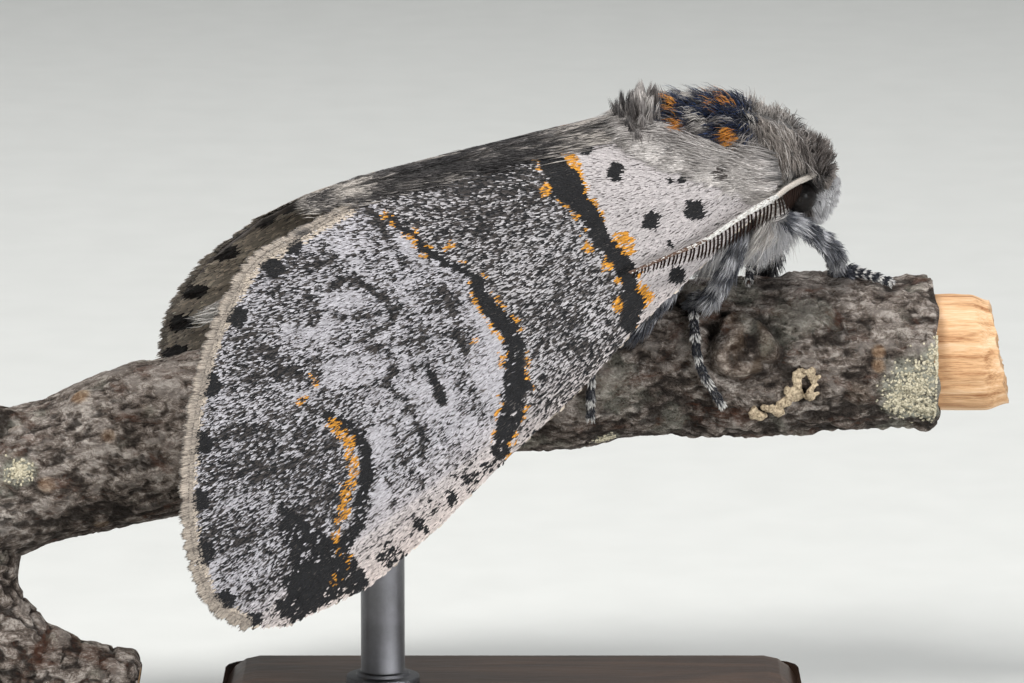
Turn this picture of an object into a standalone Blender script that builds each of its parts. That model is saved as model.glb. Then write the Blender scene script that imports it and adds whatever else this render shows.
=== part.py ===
"""Poplar kitten moth at rest on a short cut length of twig, held by a plain display stand.

World axes: +X along the twig towards the moth's head, +Y away from the viewer, +Z up.
The origin is the centre of the stand base's underside. Shapes are laid out in millimetres
and written out in metres.
"""

import math

import bpy
import numpy as np
from mathutils import Matrix

MM = 0.001
GAP = 0.3
SHEET = 0.5

# Pose: the layout plane faces a viewer who looks down by VIEW_RISE
VIEW_RISE = math.radians(10.0)
BODY_SLOPE = math.radians(14.0)
BODY_TILT = math.radians(31.0)
LAYOUT_ORIGIN = (0.0, -2.0, 14.2)
BODY_CENTRE = (6.77, 5.38, 0.0)

# Body: stations of x, half width, height above the centre line, depth below it, centre line z
THORAX = (
    (3.15, 0.25, 0.25, 0.25, 0.75),
    (2.85, 1.20, 0.95, 1.10, 0.65),
    (2.25, 1.90, 1.70, 1.90, 0.35),
    (1.20, 2.45, 2.70, 2.50, 0.05),
    (0.00, 2.65, 3.10, 2.65, 0.00),
    (-1.30, 2.45, 3.25, 2.45, 0.00),
    (-2.40, 1.75, 2.40, 1.95, -0.05),
    (-3.15, 0.35, 0.50, 0.45, -0.10),
)
HEAD = (
    (4.00, 0.30, 0.30, 0.30, -1.10),
    (3.75, 0.95, 0.95, 0.90, -1.00),
    (3.10, 1.35, 1.40, 1.30, -0.90),
    (2.30, 1.40, 1.50, 1.35, -0.80),
    (1.40, 0.80, 0.80, 0.80, -0.70),
)
ABDOMEN = (
    (-2.20, 0.60, 0.60, 0.60, -0.20),
    (-2.90, 1.35, 1.35, 1.35, -0.20),
    (-5.00, 1.70, 1.72, 1.75, -0.25),
    (-8.50, 1.75, 1.78, 1.80, -0.25),
    (-12.0, 1.55, 1.55, 1.60, -0.28),
    (-14.6, 1.05, 1.05, 1.10, -0.32),
    (-16.2, 0.62, 0.55, 0.60, -0.35),
    (-17.2, 0.25, 0.22, 0.25, -0.40),
)
NECK_AT = (1.85, 0.0, -0.75)
NECK_FACES = (0.88, 0.0, -0.47)
WAIST_AT = -2.6

# Eyes and feelers
EYE_AT = (2.62, 1.20, -0.86)
EYE_RADIUS = 0.55
FEELER_RADIUS = 0.26
FEELER_TIP_RADIUS = 0.12
FEELER_START = ((2.96, 0.75, 0.12), (2.85, 1.95, 0.42), (2.55, 2.85, 0.70))
FEELER_OVER_WING = ((1.60, 3.85), (0.54, 4.15), (-1.00, 4.66), (-2.25, 4.86), (-3.50, 5.06))
FEELER_LIFT = 0.80
LEFT_FEELER_DROP = 0.9

# Roof made by the wings: slope in degrees at the ridge, past the shoulder and at the costa
RIDGE_HEIGHT = 3.0
RIDGE_HALF_GAP = 0.29
ROOF_SLOPES = (15.0, 60.0, 66.0)
SHOULDER_REACH = 3.2
ROOF_REACH = 16.0

# Forewing outline as x and distance from the ridge measured across the sheet
FORE_DORSUM = ((1.90, 3.40), (0.40, 2.55), (-1.20, 1.55), (-2.60, 0.55), (-3.70, 0.0), (-12.15, 0.35))
FORE_COSTA = (
    (1.60, 4.40),
    (-1.25, 5.83),
    (-3.55, 6.81),
    (-6.01, 8.41),
    (-8.81, 9.97),
    (-11.65, 11.68),
    (-14.38, 13.06),
    (-17.28, 13.64),
    (-18.81, 13.56),
)
FORE_TERMEN = (
    (-12.15, 0.35),
    (-13.48, 1.08),
    (-15.88, 2.53),
    (-17.55, 4.00),
    (-18.91, 6.06),
    (-19.68, 8.27),
    (-20.05, 10.25),
    (-19.88, 12.36),
    (-18.81, 13.56),
)
FAR_WING_SAG = 0.55

# Hindwing outline, folded under the forewing by HIND_INSET
HIND_DORSUM = ((-1.40, 4.70), (-4.00, 4.85), (-12.20, 4.90))
HIND_COSTA = ((-1.20, 5.30), (-4.50, 6.50), (-8.50, 8.60), (-12.60, 9.90))
HIND_TERMEN = ((-12.20, 4.90), (-13.50, 6.40), (-13.70, 8.40), (-12.60, 9.90))
HIND_INSET = 0.97

VEIN_HEIGHT = 0.12
FORE_GRID = (17, 13)
HIND_GRID = (10, 9)

# Hair: flat tapered locks, with the shares of full width and depth from root to tip
SEED = 17
LOCK_STATIONS = (0.0, 0.25, 0.62, 1.0)
LOCK_WIDTHS = (0.75, 1.0, 0.75, 0.16)
LOCK_DEPTHS = (1.0, 1.0, 0.75, 0.25)
LOCK_DEPTH = 0.46
ROOT_SINK = 0.45
THORAX_ROWS = (0.08, 0.21, 0.34, 0.47)
THORAX_FAN = (26.0, 52.0, 77.0, 103.0, 128.0, 154.0)
THORAX_LOCK = {"length": 1.30, "width": 0.85, "rise": 0.26, "lean": 0.25}
CREST_ROWS = ((-0.25, -1.05, 1.22), (-1.05, -1.20, 1.05), (-1.80, -1.25, 0.70))
CREST_SPREAD = (-1.05, -0.36, 0.36, 1.05)
CREST_WIDTH = 0.62
CREST_FACES = (0.6, 0.0, 0.8)
TEGULA_STARTS = (
    (1.90, 3.05, 1.5),
    (1.50, 2.50, 2.0),
    (0.80, 1.95, 2.2),
    (0.10, 1.40, 2.3),
    (-0.80, 0.85, 2.3),
)
TEGULA_LIFT = 0.60
TEGULA_SINK = 0.7
TEGULA_TURN = 1.05
TEGULA_WIDTHS = (0.85, 1.0)
CHEST_ROWS = ((1.8, 1.05), (0.8, 1.40), (-0.2, 1.40), (-1.3, 1.1))
CHEST_FAN = (-44.0, -75.0, -105.0, -136.0)
CHEST_WIDTH = 0.70
CHEST_BULGE = 0.10
HEAD_ROWS = (0.22, 0.45)
HEAD_FAN = (48.0, 76.0, 104.0, 132.0)
FACE_FAN = (-105.0, -60.0, 225.0)
HEAD_LOCK = {"length": 0.95, "lean": 0.25}
FACE_LOCK = {"length": 0.80, "lean": -0.35}
HEAD_LOCK_WIDTH = 0.55
HEAD_LOCK_RISE = 0.25
ABDOMEN_ROWS = (0.26, 0.52)
ABDOMEN_FAN = (30.0, 90.0, 150.0, 235.0, 305.0)
ABDOMEN_LOCK = {"length": 1.9, "width": 1.15, "rise": 0.10, "lean": 0.0}
TAIL_ROWS = (0.78, 0.90)
TAIL_FAN = (40.0, 140.0, 220.0, 320.0)
TAIL_LOCK = {"length": 1.5, "width": 0.7, "rise": 0.16, "lean": 0.0}
SHOULDER_AT = (1.15, 2.55, 0.35)
SHOULDER_RADIUS = 0.95

# Comb teeth of the feelers
TOOTH_LENGTH = 0.45
TOOTH_RADIUS = 0.15
TOOTH_PITCH = 0.78
TOOTH_TURNS = (8.0, 62.0)

# Twig: rise of its axis along u as a cubic, depth behind the body's plane, radius
TWIG_RISE = (-1.074, 0.11195, -0.00532, 0.00007)
TWIG_DEPTH = -3.35
TWIG_RADIUS = 2.62
TWIG_LEFT = -17.9
TWIG_RIGHT = 14.35
KNOT_AT = 7.75
KNOT_TURN = 83.0
KNOT_SPREAD = 1.15
KNOT_HEIGHT = 0.28
WOOD_RADIUS = 1.85
WOOD_LENGTH = 1.8
FORK_PATH = ((-18.0, -5.6), (-18.2, -8.4), (-17.1, -10.6), (-15.1, -11.5), (-13.0, -11.85))
FORK_RADII = (1.75, 1.5, 1.35, 1.25, 1.2)

# Legs: joints in the body's frame, then the foot as u, turn round the twig in degrees
LEG_RADIUS = 0.34
ROOM_FACTOR = 1.08
LEG_LOCK_LENGTH = 0.85
LEG_LOCK_WIDTH = 0.46
LEG_LOCK_RISE = 0.32
LEG_LOCK_REACH = 0.42
LEG_LOCK_SHARES = {
    "foreleg_right": (0.58, 0.86),
    "foreleg_left": (0.70,),
    "midleg_right": (0.52, 0.70, 0.88),
    "midleg_left": (0.58, 0.82),
    "hindleg_right": (0.78,),
    "hindleg_left": (0.78,),
}
FOOT_RADIUS = 0.25
FOOT_BEAD = 0.04
LEGS = {
    "foreleg_right": (
        ((1.9, -0.7, -1.9), (2.7, -0.5, -3.1)),
        ((10.6, 26.0), (11.3, 29.0), (12.0, 34.0), (12.7, 44.0)),
    ),
    "foreleg_left": (
        ((1.7, 0.7, -1.9), (1.9, 0.9, -3.0)),
        ((8.7, -38.0), (8.45, -14.0), (8.2, 10.0), (8.05, 36.0)),
    ),
    "midleg_right": (
        ((0.5, -0.8, -2.1), (1.0, -1.75, -2.0), (-0.35, -1.6, -3.1)),
        ((6.25, 52.0), (6.15, 74.0), (6.3, 97.0), (6.95, 123.0)),
    ),
    "midleg_left": (
        ((0.3, 1.0, -2.1), (0.9, 2.0, -2.5), (0.2, 2.5, -3.7)),
        ((6.0, -50.0), (5.8, -75.0), (5.6, -100.0), (5.5, -122.0)),
    ),
    "hindleg_right": (
        ((-1.4, -1.0, -1.8), (-2.6, -1.9, -2.7), (-4.0, -2.2, -3.6)),
        ((2.9, 60.0), (2.66, 84.0), (2.55, 106.0), (2.47, 124.0)),
    ),
    "hindleg_left": (
        ((-1.4, 1.0, -1.8), (-2.6, 2.1, -2.4), (-4.0, 2.9, -3.2)),
        ((2.4, -62.0), (2.2, -84.0), (2.1, -104.0), (2.0, -122.0)),
    ),
}

# Stand
BASE_SIZE = (20.0, 15.0, 1.6)
BASE_CHAMFER = 0.35
BASE_CORNER = 1.2
ROD_RADIUS = 0.75
ROD_AT = -4.4

MATERIALS = {
    "thorax_hair": (0.62, 0.62, 0.62, 1.0),
    "head_hair": (0.55, 0.55, 0.55, 1.0),
    "eye": (0.02, 0.015, 0.012, 1.0),
    "feeler": (0.35, 0.25, 0.18, 1.0),
    "abdomen_hair": (0.5, 0.49, 0.47, 1.0),
    "forewing_scales": (0.66, 0.65, 0.62, 1.0),
    "hindwing_scales": (0.72, 0.71, 0.69, 1.0),
    "leg_hair": (0.5, 0.5, 0.5, 1.0),
    "bark": (0.24, 0.2, 0.16, 1.0),
    "cut_wood": (0.6, 0.47, 0.33, 1.0),
    "stand_metal": (0.3, 0.3, 0.31, 1.0),
    "stand_wood": (0.12, 0.09, 0.07, 1.0),
}


# Vectors and curves


def unit(vector):
    vector = np.asarray(vector, float)
    return vector / np.linalg.norm(vector)


def smooth(t):
    t = np.clip(t, 0.0, 1.0)
    return t * t * (3.0 - 2.0 * t)


def polyline_at(points, t):
    """Points at the shares t of a polyline's length."""
    points = np.asarray(points, float)
    steps = np.linalg.norm(np.diff(points, axis=0), axis=1)
    along = np.concatenate([[0.0], np.cumsum(steps)])
    along = along / along[-1]
    return np.stack([np.interp(t, along, points[:, k]) for k in range(points.shape[1])], axis=-1)


def curve_at(keys, t):
    """A smooth curve through the keys, with t from 0 at the first to 1 at the last."""
    keys = np.asarray(keys, float)
    last = len(keys) - 1
    place = np.clip(np.asarray(t, float), 0.0, 1.0) * last
    index = np.minimum(place.astype(int), last - 1)
    local = (place - index)[..., None]
    before = keys[np.maximum(index - 1, 0)]
    start = keys[index]
    end = keys[index + 1]
    after = keys[np.minimum(index + 2, last)]
    leave = (end - before) / 2.0
    arrive = (after - start) / 2.0
    return (
        start * (1 + 2 * local) * (1 - local) ** 2
        + leave * local * (1 - local) ** 2
        + end * local**2 * (3 - 2 * local)
        - arrive * local**2 * (1 - local)
    )


SIGHT = np.array([0.0, -math.cos(VIEW_RISE), math.sin(VIEW_RISE)])
UP = np.array([0.0, math.sin(VIEW_RISE), math.cos(VIEW_RISE)])
RIGHT = np.array([1.0, 0.0, 0.0])
FORWARD = math.cos(BODY_SLOPE) * RIGHT + math.sin(BODY_SLOPE) * UP
ACROSS = math.cos(BODY_SLOPE) * UP - math.sin(BODY_SLOPE) * RIGHT
DORSAL = math.sin(BODY_TILT) * SIGHT + math.cos(BODY_TILT) * ACROSS
LEFT = np.cross(DORSAL, FORWARD)


def layout(points):
    """Layout coordinates (right, up, towards the viewer) to the world."""
    points = np.asarray(points, float)
    return np.asarray(LAYOUT_ORIGIN) + points @ np.stack([RIGHT, UP, SIGHT])


def body(points):
    """Body coordinates (forward, left, dorsal) to the world."""
    points = np.asarray(points, float)
    return layout(BODY_CENTRE) + points @ np.stack([FORWARD, LEFT, DORSAL])


# Closed surfaces


def closed_rings(rings):
    """Vertices and triangles of a stack of closed rings with a fan at each end."""
    rings = np.asarray(rings, float)
    count, sides = rings.shape[:2]
    points = np.concatenate([rings.reshape(-1, 3), [rings[0].mean(axis=0)], [rings[-1].mean(axis=0)]])
    first_pole = count * sides
    last_pole = first_pole + 1
    faces = []
    for i in range(count - 1):
        for j in range(sides):
            a = i * sides + j
            b = i * sides + (j + 1) % sides
            faces.append((a, b, b + sides))
            faces.append((a, b + sides, a + sides))
    for j in range(sides):
        k = (j + 1) % sides
        faces.append((first_pole, k, j))
        faces.append((last_pole, first_pole - sides + j, first_pole - sides + k))
    return points, faces


def outward(points, faces):
    """The same surface with its faces turned out if its volume is negative."""
    corners = np.asarray(points)[np.asarray(faces)]
    corners = corners - np.asarray(points).mean(axis=0)
    volume = np.einsum("ij,ij->i", corners[:, 0], np.cross(corners[:, 1], corners[:, 2])).sum()
    if volume < 0:
        faces = [face[::-1] for face in faces]
    return points, faces


def tube(path, radii, sides=8, extend=0.0):
    """A round tube along a path, with the ring turned as little as possible."""
    path = np.array(path, float)
    path[0] += extend * unit(path[0] - path[1])
    path[-1] += extend * unit(path[-1] - path[-2])
    tangents = np.gradient(path, axis=0)
    tangents = tangents / np.linalg.norm(tangents, axis=1)[:, None]
    helper = np.eye(3)[np.argmin(np.abs(tangents[0]))]
    side = unit(np.cross(tangents[0], helper))
    angles = np.arange(sides) * 2 * math.pi / sides
    rings = []
    for point, tangent, radius in zip(path, tangents, np.broadcast_to(radii, len(path))):
        side = unit(side - tangent * (side @ tangent))
        other = np.cross(tangent, side)
        rings.append(point + radius * (np.cos(angles)[:, None] * side + np.sin(angles)[:, None] * other))
    return outward(*closed_rings(rings))


def station_points(stations, t, angle, grow=0.0):
    """Points of a body surface, with t from 0 at the first station to 1 at the last."""
    keys = curve_at(stations, t)
    x, width, top, bottom, centre = np.moveaxis(keys, -1, 0)
    sine = np.sin(angle)
    height = np.where(sine > 0, top, bottom)
    return np.stack([x, (width + grow) * np.cos(angle), centre + (height + grow) * sine], axis=-1)


def station_body(stations, rings, sides, grow=0.0):
    t = np.linspace(0.0, 1.0, rings)
    angles = np.arange(sides) * 2 * math.pi / sides
    ring_t, ring_angle = np.meshgrid(t, angles, indexing="ij")
    points = station_points(stations, ring_t, ring_angle, grow)
    if grow:
        points[0, :, 0] += grow * np.sign(stations[0][0] - stations[-1][0])
        points[-1, :, 0] -= grow * np.sign(stations[0][0] - stations[-1][0])
    rings_world = body(points.reshape(-1, 3)).reshape(rings, sides, 3)
    return outward(*closed_rings(rings_world))


def sphere(centre, radius, rings=9, sides=14):
    turn = np.linspace(0.06, math.pi - 0.06, rings)
    angles = np.arange(sides) * 2 * math.pi / sides
    ring_turn, ring_angle = np.meshgrid(turn, angles, indexing="ij")
    points = radius * np.stack(
        [
            np.sin(ring_turn) * np.cos(ring_angle),
            np.sin(ring_turn) * np.sin(ring_angle),
            np.cos(ring_turn),
        ],
        axis=-1,
    )
    return outward(*closed_rings(np.asarray(centre) + points))


# Wings


def roof_tables():
    reach = np.linspace(0.0, ROOF_REACH, 321)
    ridge, shoulder, edge = ROOF_SLOPES
    slope = ridge + (shoulder - ridge) * smooth(reach / SHOULDER_REACH)
    slope = slope + (edge - shoulder) * np.clip((reach - SHOULDER_REACH) / 10.0, 0.0, 1.0)
    slope = np.radians(slope)
    step = reach[1] - reach[0]
    out = np.concatenate([[0.0], np.cumsum((np.cos(slope[1:]) + np.cos(slope[:-1])) / 2 * step)])
    drop = np.concatenate([[0.0], np.cumsum((np.sin(slope[1:]) + np.sin(slope[:-1])) / 2 * step)])
    return reach, out, drop, slope


ROOF = roof_tables()


def roof_point(x, across, side, lift=0.0):
    """Points over the roof: across from the ridge, side -1 right or 1 left, lifted along the normal."""
    reach, out, drop, slope = ROOF
    out_at = np.interp(across, reach, out) + np.minimum(across, 0.0)
    drop_at = np.interp(across, reach, drop)
    slope_at = np.interp(across, reach, slope)
    if side > 0:
        drop_at = drop_at + FAR_WING_SAG * smooth((-x - 10.5) / 6.0)
    y = RIDGE_HALF_GAP + out_at + np.sin(slope_at) * lift
    z = RIDGE_HEIGHT - drop_at + np.cos(slope_at) * lift
    return np.stack([x, side * y, z], axis=-1)


def on_roof(x, across, side, lift=0.0):
    return body(roof_point(x, across, side, lift))


def roof_normal(across, side):
    slope = np.interp(across, ROOF[0], ROOF[3])
    return np.array([0.0, side * math.sin(slope), math.cos(slope)])


def pushed_out(points, inner, grow):
    """An outline's points moved away from the point inner by grow, square to the line."""
    points = np.asarray(points, float)
    tangents = np.gradient(points, axis=0)
    normals = np.stack([-tangents[:, 1], tangents[:, 0]], axis=-1)
    normals = normals / np.linalg.norm(normals, axis=1)[:, None]
    turn = np.sign(np.einsum("ij,ij->i", normals, points - np.asarray(inner)))
    return points + grow * normals * turn[:, None]


def outline_patch(dorsum, costa, termen, rows, columns, grow=0.0):
    """A grid over the outline: rows from root to termen, columns from dorsum to costa."""
    middle = np.asarray(dorsum[1:] + costa[1:]).mean(axis=0)
    if grow:
        dorsum = pushed_out(dorsum, middle, grow)
        costa = pushed_out(costa, middle, grow)
        termen = pushed_out(termen, middle, grow)
        dorsum[0, 0] += grow
        costa[0, 0] += grow
        termen[0] = dorsum[-1]
        termen[-1] = costa[-1]
    along = np.linspace(0.0, 1.0, rows)
    over = np.linspace(0.0, 1.0, columns)
    low = polyline_at(dorsum, along)[:, None, :]
    high = polyline_at(costa, along)[:, None, :]
    near = polyline_at((low[0, 0], high[0, 0]), over)[None, :, :]
    far = polyline_at(termen, over)[None, :, :]
    u = along[:, None, None]
    v = over[None, :, None]
    corners = (
        (1 - u) * (1 - v) * low[0, 0]
        + u * (1 - v) * low[-1, 0]
        + (1 - u) * v * high[0, 0]
        + u * v * high[-1, 0]
    )
    return (1 - v) * low + v * high + (1 - u) * near + u * far - corners


def vein_lift(rows, columns):
    """Height of the veins on a grid: every other column is a vein that fades towards the termen."""
    along = np.linspace(0.0, 1.0, rows)[:, None]
    is_vein = (np.arange(columns) % 2 == 1).astype(float)[None, :]
    fade = smooth(along / 0.1) * (1.0 - smooth((along - 0.86) / 0.1))
    return VEIN_HEIGHT * is_vein * fade


def wing_sheet(outlines, side, rows, columns, inset=0.0, grow=0.0):
    """A wing as one closed sheet, split alike on both faces."""
    grid = outline_patch(*outlines, rows, columns, grow)
    lift = vein_lift(rows, columns)
    x = grid[..., 0]
    across = grid[..., 1]
    top = on_roof(x, across, side, lift - inset + grow)
    bottom = on_roof(x, across, side, -SHEET - inset - grow)
    points = np.concatenate([top.reshape(-1, 3), bottom.reshape(-1, 3)])
    offset = rows * columns
    faces = []
    for i in range(rows - 1):
        for j in range(columns - 1):
            a = i * columns + j
            b = a + 1
            c = a + columns
            d = c + 1
            faces += [(a, c, b), (b, c, d)]
            faces += [(a + offset, b + offset, c + offset), (b + offset, d + offset, c + offset)]
    rim = list(range(columns))
    rim += [i * columns + columns - 1 for i in range(1, rows)]
    rim += [(rows - 1) * columns + j for j in range(columns - 2, -1, -1)]
    rim += [i * columns for i in range(rows - 2, 0, -1)]
    for here, there in zip(rim, rim[1:] + rim[:1]):
        faces += [(here, there, there + offset), (here, there + offset, here + offset)]
    return outward(points, faces)


# Hair


def surface_at(stations, t, angle):
    """Point, outward normal and backward tangent of a body surface, in body coordinates."""
    step = 0.01
    point = station_points(stations, t, angle)
    back = unit(station_points(stations, t + step, angle) - station_points(stations, t - step, angle))
    around = station_points(stations, t, angle + step) - station_points(stations, t, angle - step)
    out = unit(np.cross(back, around))
    centre = curve_at(stations, t)
    if out @ (point - (centre[0], 0.0, centre[4])) < 0:
        out = -out
    return point, out, back


def blade(path, width, out, depth=LOCK_DEPTH):
    """A flat lock along a path in body coordinates, ridged on its outer face."""
    path = np.asarray(path, float)
    rings = []
    for point, tangent, wide, deep in zip(path, np.gradient(path, axis=0), LOCK_WIDTHS, LOCK_DEPTHS):
        side = unit(np.cross(tangent, out)) * wide * width / 2
        up = unit(np.cross(side, tangent)) * deep * depth
        rings.append([point - side - 0.35 * up, point + side - 0.35 * up, point + 0.65 * up])
    rings = body(np.asarray(rings).reshape(-1, 3)).reshape(len(path), 3, 3)
    return outward(*closed_rings(rings))


def lock(root, out, lie, length, width, rise):
    """A lock that leaves the surface at root and bends over along its lie."""
    lie = unit(lie)
    path = [root - ROOT_SINK * out - 0.05 * lie]
    for share in LOCK_STATIONS[1:]:
        path.append(root + length * (share * lie + rise * share * (1.6 - 0.6 * share) * out))
    return blade(path, width, out)


def row_locks(stations, rows, fan, draw, length, width, rise, lean):
    """Rows of locks round a body surface, each row turned half a step from the last."""
    made = []
    for row, t in enumerate(rows):
        shift = (row % 2 - 0.5) * 11.0
        for degrees in fan:
            angle = math.radians(degrees + shift + draw.uniform(-4.0, 4.0))
            point, out, back = surface_at(stations, t + draw.uniform(-0.012, 0.012), angle)
            lie = back + lean * np.array([0.0, np.sign(point[1]), -0.5])
            made.append(lock(point, out, lie, length * draw.uniform(0.88, 1.12), width, rise))
    return made


def share_at(stations, x):
    """The share along the stations where the surface has this x."""
    shares = np.linspace(0.0, 1.0, 200)
    return float(np.interp(-x, -curve_at(stations, shares)[:, 0], shares))


def crest_locks(draw):
    made = []
    for x, reach, rise in CREST_ROWS:
        for y in CREST_SPREAD:
            angle = math.pi / 2 - y / 2.2
            root, out, back = surface_at(THORAX, share_at(THORAX, x), angle)
            rise_here = rise * draw.uniform(0.86, 1.0) * (1.0 - 0.22 * y * y)
            tip = root + np.array([reach, 0.25 * y, rise_here])
            middle = root + np.array([0.45 * reach, 0.08 * y, 0.78 * rise_here])
            low = root + np.array([0.12 * reach, 0.0, 0.34 * rise_here])
            path = [root - ROOT_SINK * out, low, middle, tip]
            made.append(blade(path, CREST_WIDTH, np.array(CREST_FACES)))
    return made


def tegula_locks(draw):
    """Locks that leave the shoulders and lie back over the wing roots, clear of the wings."""
    made = []
    for side in (-1, 1):
        for x, across, length in TEGULA_STARTS:
            angle = math.pi / 2 - side * TEGULA_TURN
            root, out, back = surface_at(THORAX, share_at(THORAX, x), angle)
            path = [root - TEGULA_SINK * out]
            for share in (0.18, 0.58, 1.0):
                path.append(roof_point(x - share * length, across, side, TEGULA_LIFT))
            made.append(blade(path, draw.uniform(*TEGULA_WIDTHS), roof_normal(across, side)))
    return made


def chest_locks(draw):
    made = []
    for x, length in CHEST_ROWS:
        for degrees in CHEST_FAN:
            root, out, back = surface_at(THORAX, share_at(THORAX, x), math.radians(degrees))
            lie = np.array([-0.30 + draw.uniform(-0.1, 0.1), 0.10 * np.sign(root[1]), -1.0])
            made.append(hanging_lock(root, out, lie, length * draw.uniform(0.9, 1.05)))
    return made


def hanging_lock(root, out, lie, length):
    lie = unit(lie)
    path = [root - ROOT_SINK * out]
    for share in LOCK_STATIONS[1:]:
        path.append(root + length * share * lie + CHEST_BULGE * math.sin(math.pi * share) * out)
    return blade(path, CHEST_WIDTH, np.array([0.0, np.sign(root[1] + 0.01), 0.15]))


def head_locks(draw):
    """Hair of the face and brow, which lies forwards and away from the neck."""
    made = []
    for row, t in enumerate(HEAD_ROWS):
        for fan, shape in ((HEAD_FAN, HEAD_LOCK), (FACE_FAN, FACE_LOCK)):
            for degrees in fan:
                root, out, back = surface_at(HEAD, t, math.radians(degrees + 8.0 * (row % 2)))
                lie = -back + np.array([0.0, 0.0, shape["lean"]])
                length = shape["length"] * draw.uniform(0.85, 1.1)
                made.append(lock(root, out, lie, length, HEAD_LOCK_WIDTH, HEAD_LOCK_RISE))
    return made


def leg_locks(name, draw):
    """Hair along the upper leg, swept towards the foot."""
    path, foot_share = leg_path(name)
    last = len(path) - 1
    made = []
    for row, share in enumerate(LEG_LOCK_SHARES[name]):
        index = share * foot_share * last
        low = int(index)
        point = path[low] + (index - low) * (path[low + 1] - path[low])
        along = unit(path[low + 1] - path[low])
        side = unit(np.cross(along, SIGHT))
        for turn in (1.0, -1.0):
            out = unit(turn * side + 0.35 * (row % 2 - 0.5) * SIGHT)
            length = LEG_LOCK_LENGTH * draw.uniform(0.85, 1.15)
            root = point + LEG_RADIUS / 2 * out
            made.append(world_lock(root, out, along, length, LEG_LOCK_WIDTH, LEG_LOCK_RISE))
    return made


def world_lock(root, out, lie, length, width, rise):
    """A lock given in world coordinates."""
    axes = np.stack([FORWARD, LEFT, DORSAL])
    return lock((root - layout(BODY_CENTRE)) @ axes.T, out @ axes.T, lie @ axes.T, length, width, rise)


# Twig


def twig_rise(u):
    return sum(factor * u**power for power, factor in enumerate(TWIG_RISE))


def twig_frame(u):
    """Axis point and normal in layout coordinates."""
    slope = sum(power * factor * u ** (power - 1) for power, factor in enumerate(TWIG_RISE) if power)
    along = unit((1.0, slope, 0.0))
    return np.array([u, twig_rise(u), TWIG_DEPTH]), np.array([-along[1], along[0], 0.0])


def twig_radius(u, turn):
    """Radius of the bark: slow swellings, a smaller left end and the knot on the near side."""
    radius = TWIG_RADIUS + 0.06 * math.sin(0.9 * u + 0.6) + 0.05 * math.cos(2 * turn + 0.7 * u)
    radius -= 0.25 * smooth((-u - 12.0) / 6.0)
    away = (turn - math.radians(KNOT_TURN) + math.pi) % (2 * math.pi) - math.pi
    spread = ((u - KNOT_AT) ** 2 + (TWIG_RADIUS * away) ** 2) / KNOT_SPREAD**2
    return radius + KNOT_HEIGHT * math.exp(-spread)


def round_twig(u, turn, above):
    """World point over the bark, above its surface, at a turn from the top towards the viewer."""
    centre, normal = twig_frame(u)
    radius = twig_radius(u, turn) + above
    spot = centre + radius * (math.cos(turn) * normal + math.sin(turn) * np.array([0.0, 0.0, 1.0]))
    return layout(spot)


def twig_solid(grow=0.0, rings=22, sides=20):
    rows = []
    for u in np.linspace(TWIG_LEFT - grow, TWIG_RIGHT + grow, rings):
        rows.append([round_twig(u, 2 * math.pi * j / sides, grow) for j in range(sides)])
    return outward(*closed_rings(rows))


def wood_stub():
    start = TWIG_RIGHT + GAP
    path = []
    for u in np.linspace(start, start + WOOD_LENGTH, 4):
        path.append(layout(twig_frame(u)[0]))
    return tube(path, (WOOD_RADIUS, WOOD_RADIUS, WOOD_RADIUS * 0.98, WOOD_RADIUS * 0.86), 14)


def fork_solid():
    t = np.linspace(0.0, 1.0, 8)
    path = curve_at([(u, v, TWIG_DEPTH) for u, v in FORK_PATH], t)
    radii = curve_at([(r,) for r in FORK_RADII], t)[:, 0]
    return tube(layout(path), radii, 12)


# Legs and feelers


def leg_path(name, steps=18):
    joints, foot = LEGS[name]
    keys = [body(joint) for joint in joints]
    keys += [round_twig(u, math.radians(turn), GAP + FOOT_RADIUS + FOOT_BEAD + 0.03) for u, turn in foot]
    return curve_at(keys, np.linspace(0.0, 1.0, steps)), len(joints) / (len(keys) - 1)


def leg_room_solid(name):
    """The leg with the room that its hair and the gap take."""
    path, foot_share = leg_path(name)
    share = np.linspace(0.0, 1.0, len(path))
    hairy = smooth((share - foot_share * 0.38) / (foot_share * 0.15)) * (share < foot_share * 1.35)
    return tube(path, ROOM_FACTOR * (LEG_RADIUS + GAP + LEG_LOCK_REACH * hairy), 8, GAP)


def leg_solid(name, grow=0.0, sides=7):
    path, foot_share = leg_path(name)
    share = np.linspace(0.0, 1.0, len(path))
    thick = LEG_RADIUS + (FOOT_RADIUS - LEG_RADIUS) * smooth((share - foot_share * 0.55) / (foot_share * 0.45))
    beads = FOOT_BEAD * np.cos(np.arange(len(path)) * math.pi) * (share > foot_share)
    tip = 1.0 - 0.35 * smooth((share - 0.93) / 0.07)
    return tube(path, (thick + beads) * tip + grow, sides, grow)


def feeler_path(side, steps=20):
    drop = LEFT_FEELER_DROP if side > 0 else 0.0
    sag = drop * np.linspace(0.0, 1.0, len(FEELER_START)) ** 2
    keys = [body((x, side * y, z - low)) for (x, y, z), low in zip(FEELER_START, sag)]
    keys += [on_roof(x, across + drop, side, FEELER_LIFT) for x, across in FEELER_OVER_WING]
    return curve_at(keys, np.linspace(0.0, 1.0, steps))


def feeler_solid(side, grow=0.0):
    path = feeler_path(side)
    share = np.linspace(0.0, 1.0, len(path))
    radii = FEELER_RADIUS + (FEELER_TIP_RADIUS - FEELER_RADIUS) * smooth((share - 0.55) / 0.45)
    return tube(path, radii + grow, 8, grow)


def tooth(root, direction, along):
    """A tapered comb tooth that leans towards the feeler's tip."""
    lean = unit(direction + 0.45 * along)
    path = [root, root + 0.5 * TOOTH_LENGTH * direction + 0.06 * along, root + TOOTH_LENGTH * lean]
    return tube(path, (TOOTH_RADIUS, 0.72 * TOOTH_RADIUS, 0.35 * TOOTH_RADIUS), 3)


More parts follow.
